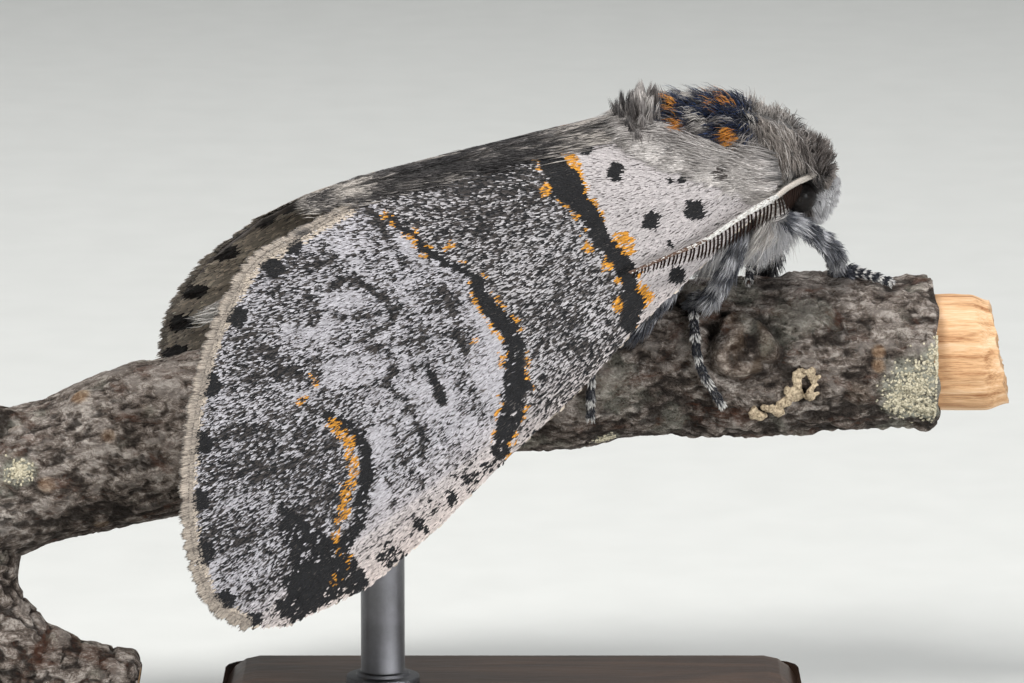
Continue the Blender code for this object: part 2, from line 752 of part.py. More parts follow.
def feeler_teeth(side):
    """Two rows of teeth on the feeler's lower side, over the wing."""
    path = feeler_path(side, 60)
    steps = np.linalg.norm(np.diff(path, axis=0), axis=1)
    length = np.concatenate([[0.0], np.cumsum(steps)])
    axes = np.stack([FORWARD, LEFT, DORSAL])
    made = []
    for at in np.arange(1.5, length[-1] - 0.4, TOOTH_PITCH):
        index = int(np.searchsorted(length, at))
        along = unit(path[index] - path[index - 1])
        shrink = 1.0 - 0.5 * smooth((at / length[-1] - 0.7) / 0.3)
        for degrees in TOOTH_TURNS:
            normal = roof_normal(4.5, side) @ axes
            down = unit(np.cross(along, normal)) * side
            turn = math.radians(degrees)
            direction = math.cos(turn) * down + math.sin(turn) * normal
            made.append(tooth(path[index] + 0.10 * direction, shrink * direction, along))
    return made


# Stand


def chamfered_plate(size, chamfer, cut):
    half_x, half_y, height = size[0] / 2, size[1] / 2, size[2]
    rings = []
    for z, inset in ((0.0, chamfer), (chamfer, 0.0), (height - chamfer, 0.0), (height, chamfer)):
        x, y = half_x - inset, half_y - inset
        rings.append(
            [
                (x, -y + cut, z),
                (x, y - cut, z),
                (x - cut, y, z),
                (-x + cut, y, z),
                (-x, y - cut, z),
                (-x, -y + cut, z),
                (-x + cut, -y, z),
                (x - cut, -y, z),
            ]
        )
    return outward(*closed_rings(rings))


def rod_solid():
    foot = BASE_SIZE[2] + GAP
    axis = layout(twig_frame(ROD_AT)[0])
    heights = np.linspace(foot, axis[2], 6)
    return tube([(axis[0], axis[1], z) for z in heights], ROD_RADIUS, 14)


# Objects


def mesh_object(name, points, faces, collection=None):
    mesh = bpy.data.meshes.new(name)
    mesh.from_pydata([tuple(point) for point in points], [], [tuple(face) for face in faces])
    mesh.validate()
    obj = bpy.data.objects.new(name, mesh)
    (collection or bpy.context.scene.collection).objects.link(obj)
    return obj


def helper_collection(name, solids):
    collection = bpy.data.collections.new(name)
    bpy.context.scene.collection.children.link(collection)
    collection.hide_render = True
    for index, (points, faces) in enumerate(solids):
        helper = mesh_object(f"{name}_{index}", points, faces, collection)
        helper.hide_render = True
        helper.display_type = "WIRE"
    return collection


def run_boolean(obj, operation, solids, solver="EXACT"):
    """Joins or cuts with a collection of closed meshes, applies it, and removes them."""
    if not solids:
        return
    collection = helper_collection(f"{obj.name}_{operation.lower()}", solids)
    modifier = obj.modifiers.new(operation, "BOOLEAN")
    modifier.operation = operation
    modifier.operand_type = "COLLECTION"
    modifier.collection = collection
    modifier.solver = solver
    graph = bpy.context.evaluated_depsgraph_get()
    made = bpy.data.meshes.new_from_object(obj.evaluated_get(graph))
    obj.modifiers.remove(modifier)
    old = obj.data
    obj.data = made
    bpy.data.meshes.remove(old)
    for helper in list(collection.objects):
        bpy.data.objects.remove(helper)
    bpy.data.collections.remove(collection)


def keep_largest(obj):
    """Splits the faces to triangles and keeps the closed surface with the largest volume.

    Faces belong together where exactly two of them share an edge.
    """
    mesh = obj.data
    mesh.calc_loop_triangles()
    points = np.array([vertex.co for vertex in mesh.vertices])
    faces = np.array([triangle.vertices for triangle in mesh.loop_triangles])
    ends = np.sort(np.concatenate([faces[:, [0, 1]], faces[:, [1, 2]], faces[:, [2, 0]]]), axis=1)
    _, edge, uses = np.unique(ends, axis=0, return_inverse=True, return_counts=True)
    edge = edge.reshape(-1)
    owner = np.tile(np.arange(len(faces)), 3)
    order = np.argsort(edge, kind="stable")
    pairs = owner[order][(uses == 2)[edge[order]]].reshape(-1, 2)
    groups = np.arange(len(faces))
    changed = True
    while changed:
        updated = groups.copy()
        lowest = groups[pairs].min(axis=1)
        np.minimum.at(updated, pairs[:, 0], lowest)
        np.minimum.at(updated, pairs[:, 1], lowest)
        changed = not np.array_equal(updated, groups)
        groups = updated
    corners = points[faces] - points.mean(axis=0)
    volumes = np.einsum("ij,ij->i", corners[:, 0], np.cross(corners[:, 1], corners[:, 2]))
    names = np.unique(groups)
    totals = [volumes[groups == name].sum() for name in names]
    kept = faces[groups == names[int(np.argmax(totals))]]
    used, index = np.unique(kept, return_inverse=True)
    fresh = bpy.data.meshes.new(mesh.name)
    fresh.from_pydata([tuple(p) for p in points[used]], [], [tuple(f) for f in index.reshape(-1, 3)])
    obj.data = fresh
    bpy.data.meshes.remove(mesh)


def node(name, slot, solid, trims=(), joined=(), cuts=()):
    """One finished node: the solid trimmed, its pieces joined and its neighbours' room cut out."""
    obj = mesh_object(name, *solid)
    run_boolean(obj, "DIFFERENCE", trims)
    run_boolean(obj, "UNION", joined)
    run_boolean(obj, "DIFFERENCE", cuts)
    if trims or joined or cuts:
        keep_largest(obj)
    obj.data.name = name
    obj.data.transform(Matrix.Scale(MM, 4))
    obj.data.materials.clear()
    obj.data.materials.append(materials[slot])
    return obj


def half_space(point, normal, reach=12.0):
    """A box that covers the side of the plane that normal points to, in body coordinates."""
    normal = unit(normal)
    side = unit(np.cross(normal, (0.0, 1.0, 0.0)))
    other = np.cross(normal, side)
    rings = []
    for depth in (0.0, reach):
        centre = np.asarray(point) + depth * normal
        corners = ((1, 1), (-1, 1), (-1, -1), (1, -1))
        rings.append([centre + reach * (a * side + b * other) for a, b in corners])
    return outward(*closed_rings(body(np.asarray(rings).reshape(-1, 3)).reshape(2, 4, 3)))


def make_materials():
    made = {}
    for slot, colour in MATERIALS.items():
        material = bpy.data.materials.new(slot)
        material.use_nodes = True
        shader = material.node_tree.nodes["Principled BSDF"]
        shader.inputs["Base Color"].default_value = colour
        shader.inputs["Roughness"].default_value = 0.35 if slot in ("eye", "stand_metal") else 0.85
        made[slot] = material
    return made


for old in list(bpy.data.objects):
    bpy.data.objects.remove(old)
materials = make_materials()

FORE_OUTLINES = (FORE_DORSUM, FORE_COSTA, FORE_TERMEN)
HIND_OUTLINES = (HIND_DORSUM, HIND_COSTA, HIND_TERMEN)
SIDES = {"right": -1, "left": 1}

neck_back = np.asarray(NECK_AT) - GAP / 2 * unit(NECK_FACES)
neck_front = np.asarray(NECK_AT) + GAP / 2 * unit(NECK_FACES)
leg_room = [leg_room_solid(name) for name in LEGS]
feeler_room = [feeler_solid(side, GAP) for side in SIDES.values()]
draw = np.random.default_rng(SEED)
wing_room = []
for side in SIDES.values():
    wing_room.append(wing_sheet(FORE_OUTLINES, side, *FORE_GRID, grow=GAP))
    wing_room.append(wing_sheet(HIND_OUTLINES, side, *HIND_GRID, HIND_INSET, GAP))

shoulders = [
    sphere(body((SHOULDER_AT[0], side * SHOULDER_AT[1], SHOULDER_AT[2])), SHOULDER_RADIUS, 7, 10)
    for side in SIDES.values()
]
thorax_locks = row_locks(THORAX, THORAX_ROWS, THORAX_FAN, draw, **THORAX_LOCK)
thorax_locks += crest_locks(draw) + tegula_locks(draw) + chest_locks(draw)
node(
    "thorax",
    "thorax_hair",
    station_body(THORAX, 13, 16),
    trims=[half_space((WAIST_AT + GAP / 2, 0.0, 0.0), (-1.0, 0.0, 0.0))],
    joined=shoulders + thorax_locks,
    cuts=[half_space(neck_back, NECK_FACES)] + leg_room + feeler_room + wing_room,
)
eyes = {name: (EYE_AT[0], side * EYE_AT[1], EYE_AT[2]) for name, side in SIDES.items()}
node(
    "head",
    "head_hair",
    station_body(HEAD, 11, 16),
    joined=head_locks(draw),
    cuts=[half_space(neck_front, -unit(NECK_FACES))]
    + [sphere(body(at), EYE_RADIUS + GAP, 7, 10) for at in eyes.values()]
    + feeler_room
    + leg_room[:2],
)
node(
    "abdomen",
    "abdomen_hair",
    station_body(ABDOMEN, 17, 16),
    trims=[half_space((WAIST_AT - GAP / 2, 0.0, 0.0), (1.0, 0.0, 0.0))],
    joined=row_locks(ABDOMEN, ABDOMEN_ROWS, ABDOMEN_FAN, draw, **ABDOMEN_LOCK)
    + row_locks(ABDOMEN, TAIL_ROWS, TAIL_FAN, draw, **TAIL_LOCK),
)
for name, side in SIDES.items():
    node(f"eye_{name}", "eye", sphere(body(eyes[name]), EYE_RADIUS, 7, 12))
    node(f"antenna_{name}", "feeler", feeler_solid(side), joined=feeler_teeth(side))
    node(f"forewing_{name}", "forewing_scales", wing_sheet(FORE_OUTLINES, side, *FORE_GRID))
    node(f"hindwing_{name}", "hindwing_scales", wing_sheet(HIND_OUTLINES, side, *HIND_GRID, HIND_INSET))
for name in LEGS:
    node(name, "leg_hair", leg_solid(name), joined=leg_locks(name, draw), cuts=[twig_solid(GAP)])

node("twig", "bark", twig_solid())
node("twig_wood", "cut_wood", wood_stub())
node("twig_fork", "bark", fork_solid(), cuts=[twig_solid(GAP)])
node("stand_base", "stand_wood", chamfered_plate(BASE_SIZE, BASE_CHAMFER, BASE_CORNER))
node("stand_rod", "stand_metal", rod_solid(), cuts=[twig_solid(GAP)])
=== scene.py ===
"""Looks of the poplar kitten moth, its twig and its stand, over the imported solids.

Sizes are in millimetres unless a name says otherwise, and are written out in metres. Places on
the moth are given forward, left and dorsal from its body's centre, places on the twig as the
distance along it and the turn round it. Names that start with MARK_ hold places as pixels of the
photograph, whose plane faces the camera, and on the wings reaches and widths in pixels too.
"""

import math

import bpy
import numpy as np
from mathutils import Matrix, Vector, kdtree


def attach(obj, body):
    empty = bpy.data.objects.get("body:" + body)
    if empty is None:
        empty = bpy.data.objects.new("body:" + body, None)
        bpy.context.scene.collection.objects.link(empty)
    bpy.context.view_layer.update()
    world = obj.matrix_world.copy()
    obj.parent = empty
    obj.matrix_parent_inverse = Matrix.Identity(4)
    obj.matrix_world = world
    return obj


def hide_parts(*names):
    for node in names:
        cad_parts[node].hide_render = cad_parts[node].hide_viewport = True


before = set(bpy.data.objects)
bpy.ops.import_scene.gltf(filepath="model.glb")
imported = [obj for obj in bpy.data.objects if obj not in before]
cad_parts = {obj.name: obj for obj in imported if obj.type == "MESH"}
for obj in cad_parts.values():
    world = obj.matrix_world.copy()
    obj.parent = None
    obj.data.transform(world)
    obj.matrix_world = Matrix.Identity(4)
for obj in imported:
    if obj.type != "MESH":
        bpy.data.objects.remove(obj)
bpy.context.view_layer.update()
for loaded in bpy.context.selected_objects:
    loaded.select_set(False)

MM = 0.001
PHOTO_WIDTH = 1024
PHOTO_HEIGHT = 683
PIXELS_PER_MM = 30.0
SENSOR_WIDTH = 36.0
CAMERA_DISTANCE = 220.0

# Pose of the body, and the plane that faces the camera
VIEW_RISE = math.radians(10.0)
BODY_SLOPE = math.radians(14.0)
BODY_TILT = math.radians(31.0)
LAYOUT_ORIGIN = np.array([0.0, -2.0, 14.2])
BODY_CENTRE = (6.77, 5.38, 0.0)

# Body: stations of x, half width, height above the centre line, depth below it, centre line z
THORAX = (
    (3.15, 0.25, 0.25, 0.25, 0.75), (2.85, 1.20, 0.95, 1.10, 0.65), (2.25, 1.90, 1.70, 1.90, 0.35),
    (1.20, 2.45, 2.70, 2.50, 0.05), (0.00, 2.65, 3.10, 2.65, 0.00), (-1.30, 2.45, 3.25, 2.45, 0.00),
    (-2.40, 1.75, 2.40, 1.95, -0.05), (-3.15, 0.35, 0.50, 0.45, -0.10),
)
HEAD = (
    (4.00, 0.30, 0.30, 0.30, -1.10), (3.75, 0.95, 0.95, 0.90, -1.00),
    (3.10, 1.35, 1.40, 1.30, -0.90), (2.30, 1.40, 1.50, 1.35, -0.80),
    (1.40, 0.80, 0.80, 0.80, -0.70),
)
ABDOMEN = (
    (-2.20, 0.60, 0.60, 0.60, -0.20), (-2.90, 1.35, 1.35, 1.35, -0.20),
    (-5.00, 1.70, 1.72, 1.75, -0.25), (-8.50, 1.75, 1.78, 1.80, -0.25),
    (-12.0, 1.55, 1.55, 1.60, -0.28), (-14.6, 1.05, 1.05, 1.10, -0.32),
    (-16.2, 0.62, 0.55, 0.60, -0.35), (-17.2, 0.25, 0.22, 0.25, -0.40),
)
COAT_DEPTH = 0.35
HEAD_DEPTH = 0.28
ABDOMEN_DEPTH = 0.22
SKIN_VOXEL = 0.09
EYE_AT = (2.60, 1.24, -0.72)
EYE_RADIUS = 0.55

# Feelers
FEELER_RADIUS = 0.105
FEELER_TIP_RADIUS = 0.04
FEELER_START = ((3.20, 0.90, -0.20), (2.68, 1.95, 0.32), (2.12, 2.85, 0.68))
FEELER_OVER_WING = ((1.60, 3.85), (0.54, 4.15), (-1.00, 4.66), (-2.25, 4.86), (-3.50, 5.06))
FEELER_STEPS = 160
FEELER_LIFT = 0.62
LEFT_FEELER_DROP = 0.9
TOOTH_PITCH = 0.145
TOOTH_LENGTH = 0.62
TOOTH_WIDTH = 0.066
TOOTH_TURNS = (2.0, 30.0)

# Roof made by the wings
RIDGE_HEIGHT = 3.0
RIDGE_HALF_GAP = 0.29
ROOF_SLOPES = (15.0, 60.0, 66.0)
SHOULDER_REACH = 3.2
ROOF_REACH = 16.0
FAR_WING_SAG = 0.55
FORE_DORSUM = ((1.90, 3.40), (0.40, 2.55), (-1.20, 1.55), (-2.60, 0.55), (-3.70, 0.0), (-12.15, 0.35))
FORE_COSTA = (
    (1.60, 4.05), (0.30, 4.50), (-1.25, 5.48), (-3.55, 6.75), (-6.01, 8.41), (-8.81, 9.97),
    (-11.65, 11.68), (-14.38, 13.06), (-17.28, 13.64), (-18.81, 13.56),
)
FORE_TERMEN = (
    (-12.15, 0.35), (-14.16, 1.00), (-15.63, 1.50), (-16.90, 2.72), (-17.95, 4.20), (-18.91, 6.06),
    (-19.68, 8.27), (-20.05, 10.25), (-19.88, 12.36), (-18.81, 13.56),
)
FAR_TERMEN = (
    (-12.15, 0.35), (-13.48, 1.08), (-15.88, 2.53), (-17.55, 4.00), (-18.91, 6.06), (-19.68, 8.27),
    (-20.05, 10.25), (-19.88, 12.36), (-18.81, 13.56),
)
HIND_DORSUM = ((-1.40, 4.70), (-4.00, 4.85), (-12.20, 4.90))
HIND_COSTA = ((-1.20, 5.30), (-4.50, 6.50), (-8.50, 8.60), (-12.60, 9.90))
HIND_TERMEN = ((-12.20, 4.90), (-13.50, 6.40), (-13.70, 8.40), (-12.60, 9.90))
HIND_INSET = 1.12
SHEET = 0.16
VEIN_HEIGHT = 0.07
VEIN_WIDTH = 0.16
FAN_CENTRE = (4.2, 2.4)
FRINGE_DEPTH = 0.45

# Scales: pitch along and over the wing, then length and width
FORE_SCALES = ((0.074, 0.041), (0.185, 0.047))
FORE_UNDER_SCALES = ((0.140, 0.090), (0.26, 0.120))
HIND_SCALES = ((0.13, 0.085), (0.25, 0.11))
FORE_GRID = (110, 72)
HIND_GRID = (56, 36)
SCALE_LIFT = 0.012
FAR_WING_COARSENESS = 1.22
FEELER_SCALES = 2600

# Hairs on the right and the left of the wings, and on each part of the body
FRINGE_HAIRS = {-1: 7600, 1: 4600}
RIDGE_HAIRS = {-1: 5600, 1: 3800}
SHOULDER_HAIRS = {-1: 9900, 1: 2600}
SHOULDER_FRONT = {-1: 2.1, 1: -0.2}
THORAX_LAYERS = ((14000, COAT_DEPTH, 0.034), (13500, 0.26, 0.024))
FINE_HAIRS = 2600
COLLAR_HAIRS = 13500
CREST_HAIRS = 27000
CHEST_HAIRS = 5200
HEAD_HAIRS = 8600
ABDOMEN_HAIRS = 5000
NEAR_LEG_HAIRS = (2700, 1000)
FAR_LEG_HAIRS = (1500, 700)
# Side of the patch that each hair or scale takes of the bake map
BAKE_PATCH = 0.003

# Main veins of the forewing as x and distance from the ridge
VEINS = (
    ((1.2, 4.6), (-6.0, 7.9), (-13.0, 11.9)),
    ((1.0, 4.2), (-4.0, 6.6), (-8.0, 8.8), (-12.0, 10.9), (-16.5, 12.8)),
    ((-8.0, 8.8), (-13.0, 10.6), (-18.9, 12.4)),
    ((-9.2, 8.0), (-14.0, 9.6), (-19.5, 10.9)),
    ((-9.6, 7.2), (-14.5, 8.2), (-19.6, 9.2)),
    ((-9.4, 6.2), (-14.0, 6.7), (-19.2, 7.2)),
    ((-8.8, 5.6), (-13.5, 5.4), (-18.6, 5.5)),
    ((-6.6, 5.0), (-12.0, 4.3), (-17.6, 4.0)),
    ((1.2, 3.9), (-4.0, 4.8), (-6.6, 5.0), (-8.8, 5.6), (-9.4, 6.2), (-9.6, 7.2), (-9.2, 8.0), (-8.0, 8.8)),
    ((1.4, 3.5), (-3.0, 3.0), (-9.0, 2.4), (-15.6, 2.3)),
)

# Twig
TWIG_RISE = (-1.074, 0.11195, -0.00532, 0.00007)
TWIG_DEPTH = -3.35
TWIG_RADIUS = 2.62
TWIG_LEFT = -17.9
TWIG_RIGHT = 14.35
KNOT_AT = 7.75
KNOT_TURN = 83.0
WOOD_RADIUS = 1.85
WOOD_LENGTH = 2.1
FORK_PATH = ((-17.4, -2.2), (-18.0, -5.6), (-18.1, -8.3), (-16.9, -10.3), (-15.0, -11.25), (-12.65, -11.65))
FORK_RADII = (1.9, 1.75, 1.5, 1.42, 1.3, 1.2)
TWIG_GRID = (410, 164)
WOOD_GRID = (60, 96)
FORK_GRID = (150, 90)
# Buds and scars of the bark: place, reach, height, how bare
MARK_BUMPS = (
    ((95, 395), 0.34, 0.16, 1.0),
    ((112, 436), 0.25, 0.10, 0.5),
    ((41, 487), 0.30, 0.16, 0.6),
    ((78, 531), 0.28, 0.12, 0.4),
    ((28, 420), 0.22, 0.08, 0.2),
    ((150, 410), 0.22, 0.08, 0.1),
    ((880, 352), 0.24, 0.10, 0.9),
    ((880, 366), 0.24, 0.10, 0.9),
    ((893, 408), 0.30, 0.14, 0.5),
    ((560, 395), 0.35, 0.12, 0.1),
    ((640, 380), 0.40, 0.12, 0.0),
    ((830, 330), 0.55, 0.16, 0.0),
    ((860, 395), 0.45, 0.14, 0.1),
)
# Lichen: place and size
MARK_LICHEN = (
    (915, 388, 1.15), (940, 360, 0.7), (905, 405, 0.8), (930, 412, 0.7), (600, 440, 0.5), (20, 470, 0.6),
)
MARK_CRUMB = (
    (750, 410), (760, 415), (768, 404), (779, 411), (784, 400), (792, 394), (800, 384), (797, 373),
    (810, 372), (815, 380), (812, 394), (800, 398), (788, 391),
)
LICHEN_LUMPS = 420
CRUMB_LUMPS = 170
CRUMB_VOXEL = 0.035

# Legs: joints in the body's frame, then the foot as the place along the twig and the turn round it
FOOT_RADIUS = 0.25
FOOT_DROP = 0.12
LEG_STEPS = 90
LEG_SKIN_RADIUS = 0.21
FOOT_SKIN_RADIUS = 0.14
LEGS = {
    "foreleg_right": (
        ((1.62, -1.95, -0.75), (2.52, -1.50, -1.75), (3.30, -0.97, -3.2)),
        ((11.05, 12.0), (11.6, 19.0), (12.1, 26.0), (12.7, 36.0)),
    ),
    "foreleg_left": (
        ((1.7, 0.7, -1.9), (1.9, 0.9, -3.0)),
        ((8.7, -38.0), (8.45, -14.0), (8.2, 10.0), (8.05, 36.0)),
    ),
    "midleg_right": (
        ((0.62, -2.25, -0.55), (-0.18, -2.20, -1.91), (-1.02, -1.82, -3.22)),
        ((6.25, 52.0), (6.15, 74.0), (6.3, 97.0), (6.95, 123.0)),
    ),
    "midleg_left": (
        ((0.3, 1.0, -2.1), (0.9, 2.0, -2.5), (0.2, 2.5, -3.7)),
        ((6.0, -50.0), (5.8, -75.0), (5.6, -100.0), (5.5, -122.0)),
    ),
    "hindleg_right": (
        ((-1.4, -1.0, -1.8), (-2.6, -1.9, -2.7), (-4.0, -2.2, -3.6)),
        ((2.9, 60.0), (2.66, 84.0), (2.55, 106.0), (2.47, 124.0)),
    ),
    "hindleg_left": (
        ((-1.4, 1.0, -1.8), (-2.6, 2.1, -2.4), (-4.0, 2.9, -3.2)),
        ((2.4, -62.0), (2.2, -84.0), (2.1, -104.0), (2.0, -122.0)),
    ),
}

NEAR_LEGS = ("foreleg_right", "midleg_right")

# Stand
BASE_SIZE = (20.0, 15.0, 1.6)
BASE_CORNER = 1.2
BASE_EDGE = 0.35
ROD_RADIUS = 0.75
ROD_AT = -4.4
COLLAR_RADIUS = 1.25
COLLAR_HEIGHT = 0.55
COLLAR_GROOVE = 0.16
COLLAR_STEP = 0.14
ROD_PARTS = 6

# Lights: name, place, size, watts, colour
LIGHTS = (
    ("key", (-90.0, -190.0, 260.0), 120.0, 0.95, (1.0, 0.985, 0.96)),
    ("fill", (200.0, -220.0, 60.0), 120.0, 0.50, (0.97, 0.98, 1.0)),
    ("top", (20.0, 90.0, 260.0), 150.0, 0.40, (1.0, 1.0, 1.0)),
)
ROOM_COLOUR = (0.86, 0.9, 0.94, 1.0)
ROOM_STRENGTH = 0.20

# Marks of the forewing in pixels of the photograph
MARK_INNER_BAND = (
    (550, 147), (555, 162), (563, 178), (577, 194), (588, 208), (596, 224), (604, 240), (617, 252),
    (626, 268), (631, 284), (637, 300), (631, 322),
)
MARK_INNER_HALF_WIDTH = (12, 12.5, 14, 14, 11, 9, 9, 11, 11, 8, 12, 9)
MARK_SECOND_BAND = (
    (391, 215), (421, 238), (433, 252), (447, 261), (466, 267), (478, 277), (488, 295), (498, 312),
    (511, 326), (518, 344), (518, 365), (519, 385), (515, 404), (508, 427), (502, 446),
)
MARK_SECOND_HALF_WIDTH = (1, 4, 5, 5, 5, 6, 7, 9, 10.5, 10.5, 10.5, 12, 12, 10, 8)
MARK_SPOTS = (
    (588, 151, 7.5), (618, 173, 8.5), (653, 222, 9.5), (697, 210, 11.5), (672, 182, 4.0),
    (682, 181, 4.0), (718, 174, 9.0), (677, 273, 9.5), (671, 243, 4.5),
)
MARK_TEGULA = (719, 174)
MARK_MARGIN_SPOTS = (
    (303, 246, 9.0), (279, 268, 11.0), (244, 316, 12.0), (218, 383, 12.0), (208, 440, 12.0),
    (206, 496, 12.0), (211, 548, 11.5), (230, 594, 11.0), (262, 613, 8.0),
)
MARK_COSTA_SPOTS = (
    (425, 519, 7.0), (393, 551, 8.0), (476, 476, 7.0), (437, 505, 5.0), (455, 494, 4.0),
    (493, 462, 6.0), (407, 545, 5.0),
)
MARK_WAVY_LINE = (
    (338, 286), (356, 278), (374, 286), (390, 296), (400, 310), (396, 322), (380, 330), (367, 337),
    (376, 345), (392, 352), (401, 362), (392, 380), (404, 394), (413, 404), (420, 420), (428, 436),
    (426, 452),
)
MARK_UPPER_LINE = ((372, 210), (384, 222), (392, 236), (402, 250), (410, 262))
MARK_DUSKY_LINE = ((449, 290), (456, 304), (462, 320), (458, 332), (470, 346))
MARK_LOWER_DUSKY = ((404, 452), (414, 466), (424, 476))
MARK_DISCAL = ((436, 371), (440, 382), (446, 398))
MARK_CRESCENT = (
    (334, 414), (348, 420), (360, 430), (369, 445), (373, 462), (371, 480), (364, 496), (366, 512),
    (360, 526), (350, 538),
)
MARK_CRESCENT_ORANGE = (
    (338, 421), (350, 432), (357, 446), (359, 462), (355, 477), (350, 490), (347, 505), (346, 520),
    (341, 534),
)
MARK_CRESCENT_TAIL = ((342, 540), (352, 552), (346, 566), (338, 578))
MARK_BLACK_PATCH = (
    (289, 500), (318, 520), (340, 534), (362, 556), (371, 576), (350, 592), (328, 604), (300, 617),
    (284, 614), (290, 590), (296, 558),
)
MARK_SOOTY_PATCH = (
    (300, 420), (340, 430), (356, 460), (352, 500), (330, 540), (292, 560), (286, 500), (296, 450),
)
MARK_WHITE_PATCHES = (
    (345, 298, 30, 11), (348, 367, 20, 20), (334, 328, 12, 14), (490, 358, 15, 44),
    (385, 434, 10, 26), (408, 246, 16, 12), (352, 250, 10, 10), (386, 500, 10, 26),
    (466, 424, 14, 18), (440, 395, 24, 20), (300, 330, 22, 8),
)
MARK_DARK_PATCHES = (
    (330, 262, 20, 12), (386, 226, 26, 12), (268, 352, 26, 12), (256, 430, 46, 9),
    (244, 466, 50, 12), (232, 528, 30, 18), (420, 330, 14, 22), (436, 290, 20, 14),
    (318, 300, 8, 20), (300, 374, 22, 8), (500, 180, 60, 22), (470, 222, 34, 18),
    (560, 312, 34, 16), (590, 348, 24, 12), (296, 258, 22, 6), (322, 440, 24, 22),
)
MARK_ORANGE_BLOBS = (
    (571, 163, 13), (577, 178, 9), (583, 197, 7), (624, 242, 12), (632, 250, 6), (644, 292, 10),
    (541, 156, 6), (548, 192, 6), (575, 234, 7), (590, 247, 5), (609, 266, 6), (620, 304, 6),
)
MARK_ORANGE_BITS = (
    (322, 382), (318, 376), (310, 396), (306, 400), (478, 338), (476, 342), (452, 248), (456, 244),
)

# Marks of the thorax: x, degrees from the top, reach along x, reach in degrees
BLUE_BLACK_PATCHES = (
    (1.25, 6.0, 0.60, 18.0), (0.35, 0.0, 0.80, 17.0), (-0.45, 2.0, 0.50, 13.0),
    (-1.10, 6.0, 0.50, 20.0), (0.10, 34.0, 0.48, 9.0), (1.15, 35.0, 0.42, 10.0),
    (0.60, 26.0, 0.80, 6.0),
)
ORANGE_PATCHES = (
    (0.56, 36.0, 0.28, 8.5), (0.86, 0.0, 0.24, 6.0), (0.30, 0.0, 0.10, 4.0),
    (-0.98, 5.0, 0.15, 6.0), (-1.00, 19.0, 0.15, 6.0),
)
WHITE_PATCHES = (
    (-0.36, 14.0, 0.14, 10.0), (0.56, 48.0, 0.32, 5.0), (-0.10, 20.0, 0.12, 7.0),
    (1.55, 20.0, 0.12, 9.0),
)

# Colours as seen, red, green and blue out of 255
WHITE = (188, 186, 190)
BLACK = (11, 11, 14)
SOOT = (56, 51, 49)
ORANGE = (214, 146, 44)
FRINGE_CREAM = (206, 194, 181)
FRINGE_GREY = (146, 134, 124)
SMALL_SPOT = (34, 30, 30)
TEGULA_BROWN = (46, 34, 30)
TIP_BLACK = (30, 27, 28)


def unit(vectors):
    vectors = np.asarray(vectors, float)
    return vectors / np.maximum(np.linalg.norm(vectors, axis=-1, keepdims=True), 1e-9)


def smooth(t):
    t = np.clip(t, 0.0, 1.0)
    return t * t * (3.0 - 2.0 * t)


def paint(colour):
    """A colour as seen to the linear light that a shader works in."""
    share = np.clip(np.asarray(colour, float), 0, 255) / 255.0
    return np.where(share <= 0.04045, share / 12.92, ((share + 0.055) / 1.055) ** 2.4)


# Frames of the layout plane and of the body

SIGHT = np.array([0.0, -math.cos(VIEW_RISE), math.sin(VIEW_RISE)])
UP = np.array([0.0, math.sin(VIEW_RISE), math.cos(VIEW_RISE)])
RIGHT = np.array([1.0, 0.0, 0.0])
FORWARD = math.cos(BODY_SLOPE) * RIGHT + math.sin(BODY_SLOPE) * UP
ACROSS = math.cos(BODY_SLOPE) * UP - math.sin(BODY_SLOPE) * RIGHT
DORSAL = math.sin(BODY_TILT) * SIGHT + math.cos(BODY_TILT) * ACROSS
LEFT = np.cross(DORSAL, FORWARD)
BODY_AXES = np.stack([FORWARD, LEFT, DORSAL])
LAYOUT_AXES = np.stack([RIGHT, UP, SIGHT])


def layout(points):
    return LAYOUT_ORIGIN + np.asarray(points, float) @ LAYOUT_AXES


def body(points):
    return layout(BODY_CENTRE) + np.asarray(points, float) @ BODY_AXES


def photo_place(points):
    """Pixels of the photograph where world points fall."""
    flat = (np.asarray(points) - LAYOUT_ORIGIN) @ LAYOUT_AXES.T
    across = PHOTO_WIDTH / 2 + PIXELS_PER_MM * flat[..., 0]
    down = PHOTO_HEIGHT / 2 - PIXELS_PER_MM * flat[..., 1]
    return np.stack([across, down], axis=-1)


def wing_place(x, across):
    """Pixels of the photograph where places of the near forewing fall."""
    return photo_place(on_roof(x, across, -1))


def far_from(places, x, y):
    return np.hypot(places[:, 0] - x, places[:, 1] - y)


# Smooth random values


def lattice(cells, seed):
    """A fixed random number from 0 to 1 for each whole-numbered cell."""
    mixed = np.full(cells.shape[:-1], seed * 7919 + 17, np.int64)
    for axis, factor in zip(range(cells.shape[-1]), (374761393, 668265263, 2147483647)):
        mixed = mixed + cells[..., axis].astype(np.int64) * factor
    mixed = mixed & 0xFFFFFFFF
    mixed = ((mixed ^ (mixed >> 13)) * 1274126177) & 0xFFFFFFFF
    return ((mixed ^ (mixed >> 16)) & 0xFFFF) / 65535.0


def cloud(points, size, seed, octaves=3):
    """Smooth random values from 0 to 1 over points of two or three coordinates."""
    points = np.asarray(points, float) / size
    total = np.zeros(points.shape[:-1])
    weight = 0.0
    for octave in range(octaves):
        cell = np.floor(points)
        local = smooth(points - cell)
        value = np.zeros(points.shape[:-1])
        for corner in np.ndindex(*(2,) * points.shape[-1]):
            share = np.prod(np.where(np.array(corner) == 1, local, 1.0 - local), axis=-1)
            value += share * lattice(cell + np.array(corner), seed + octave)
        total += value * 0.5**octave
        weight += 0.5**octave
        points = points * 2.03 + 11.7
    return total / weight


# Curves and surfaces


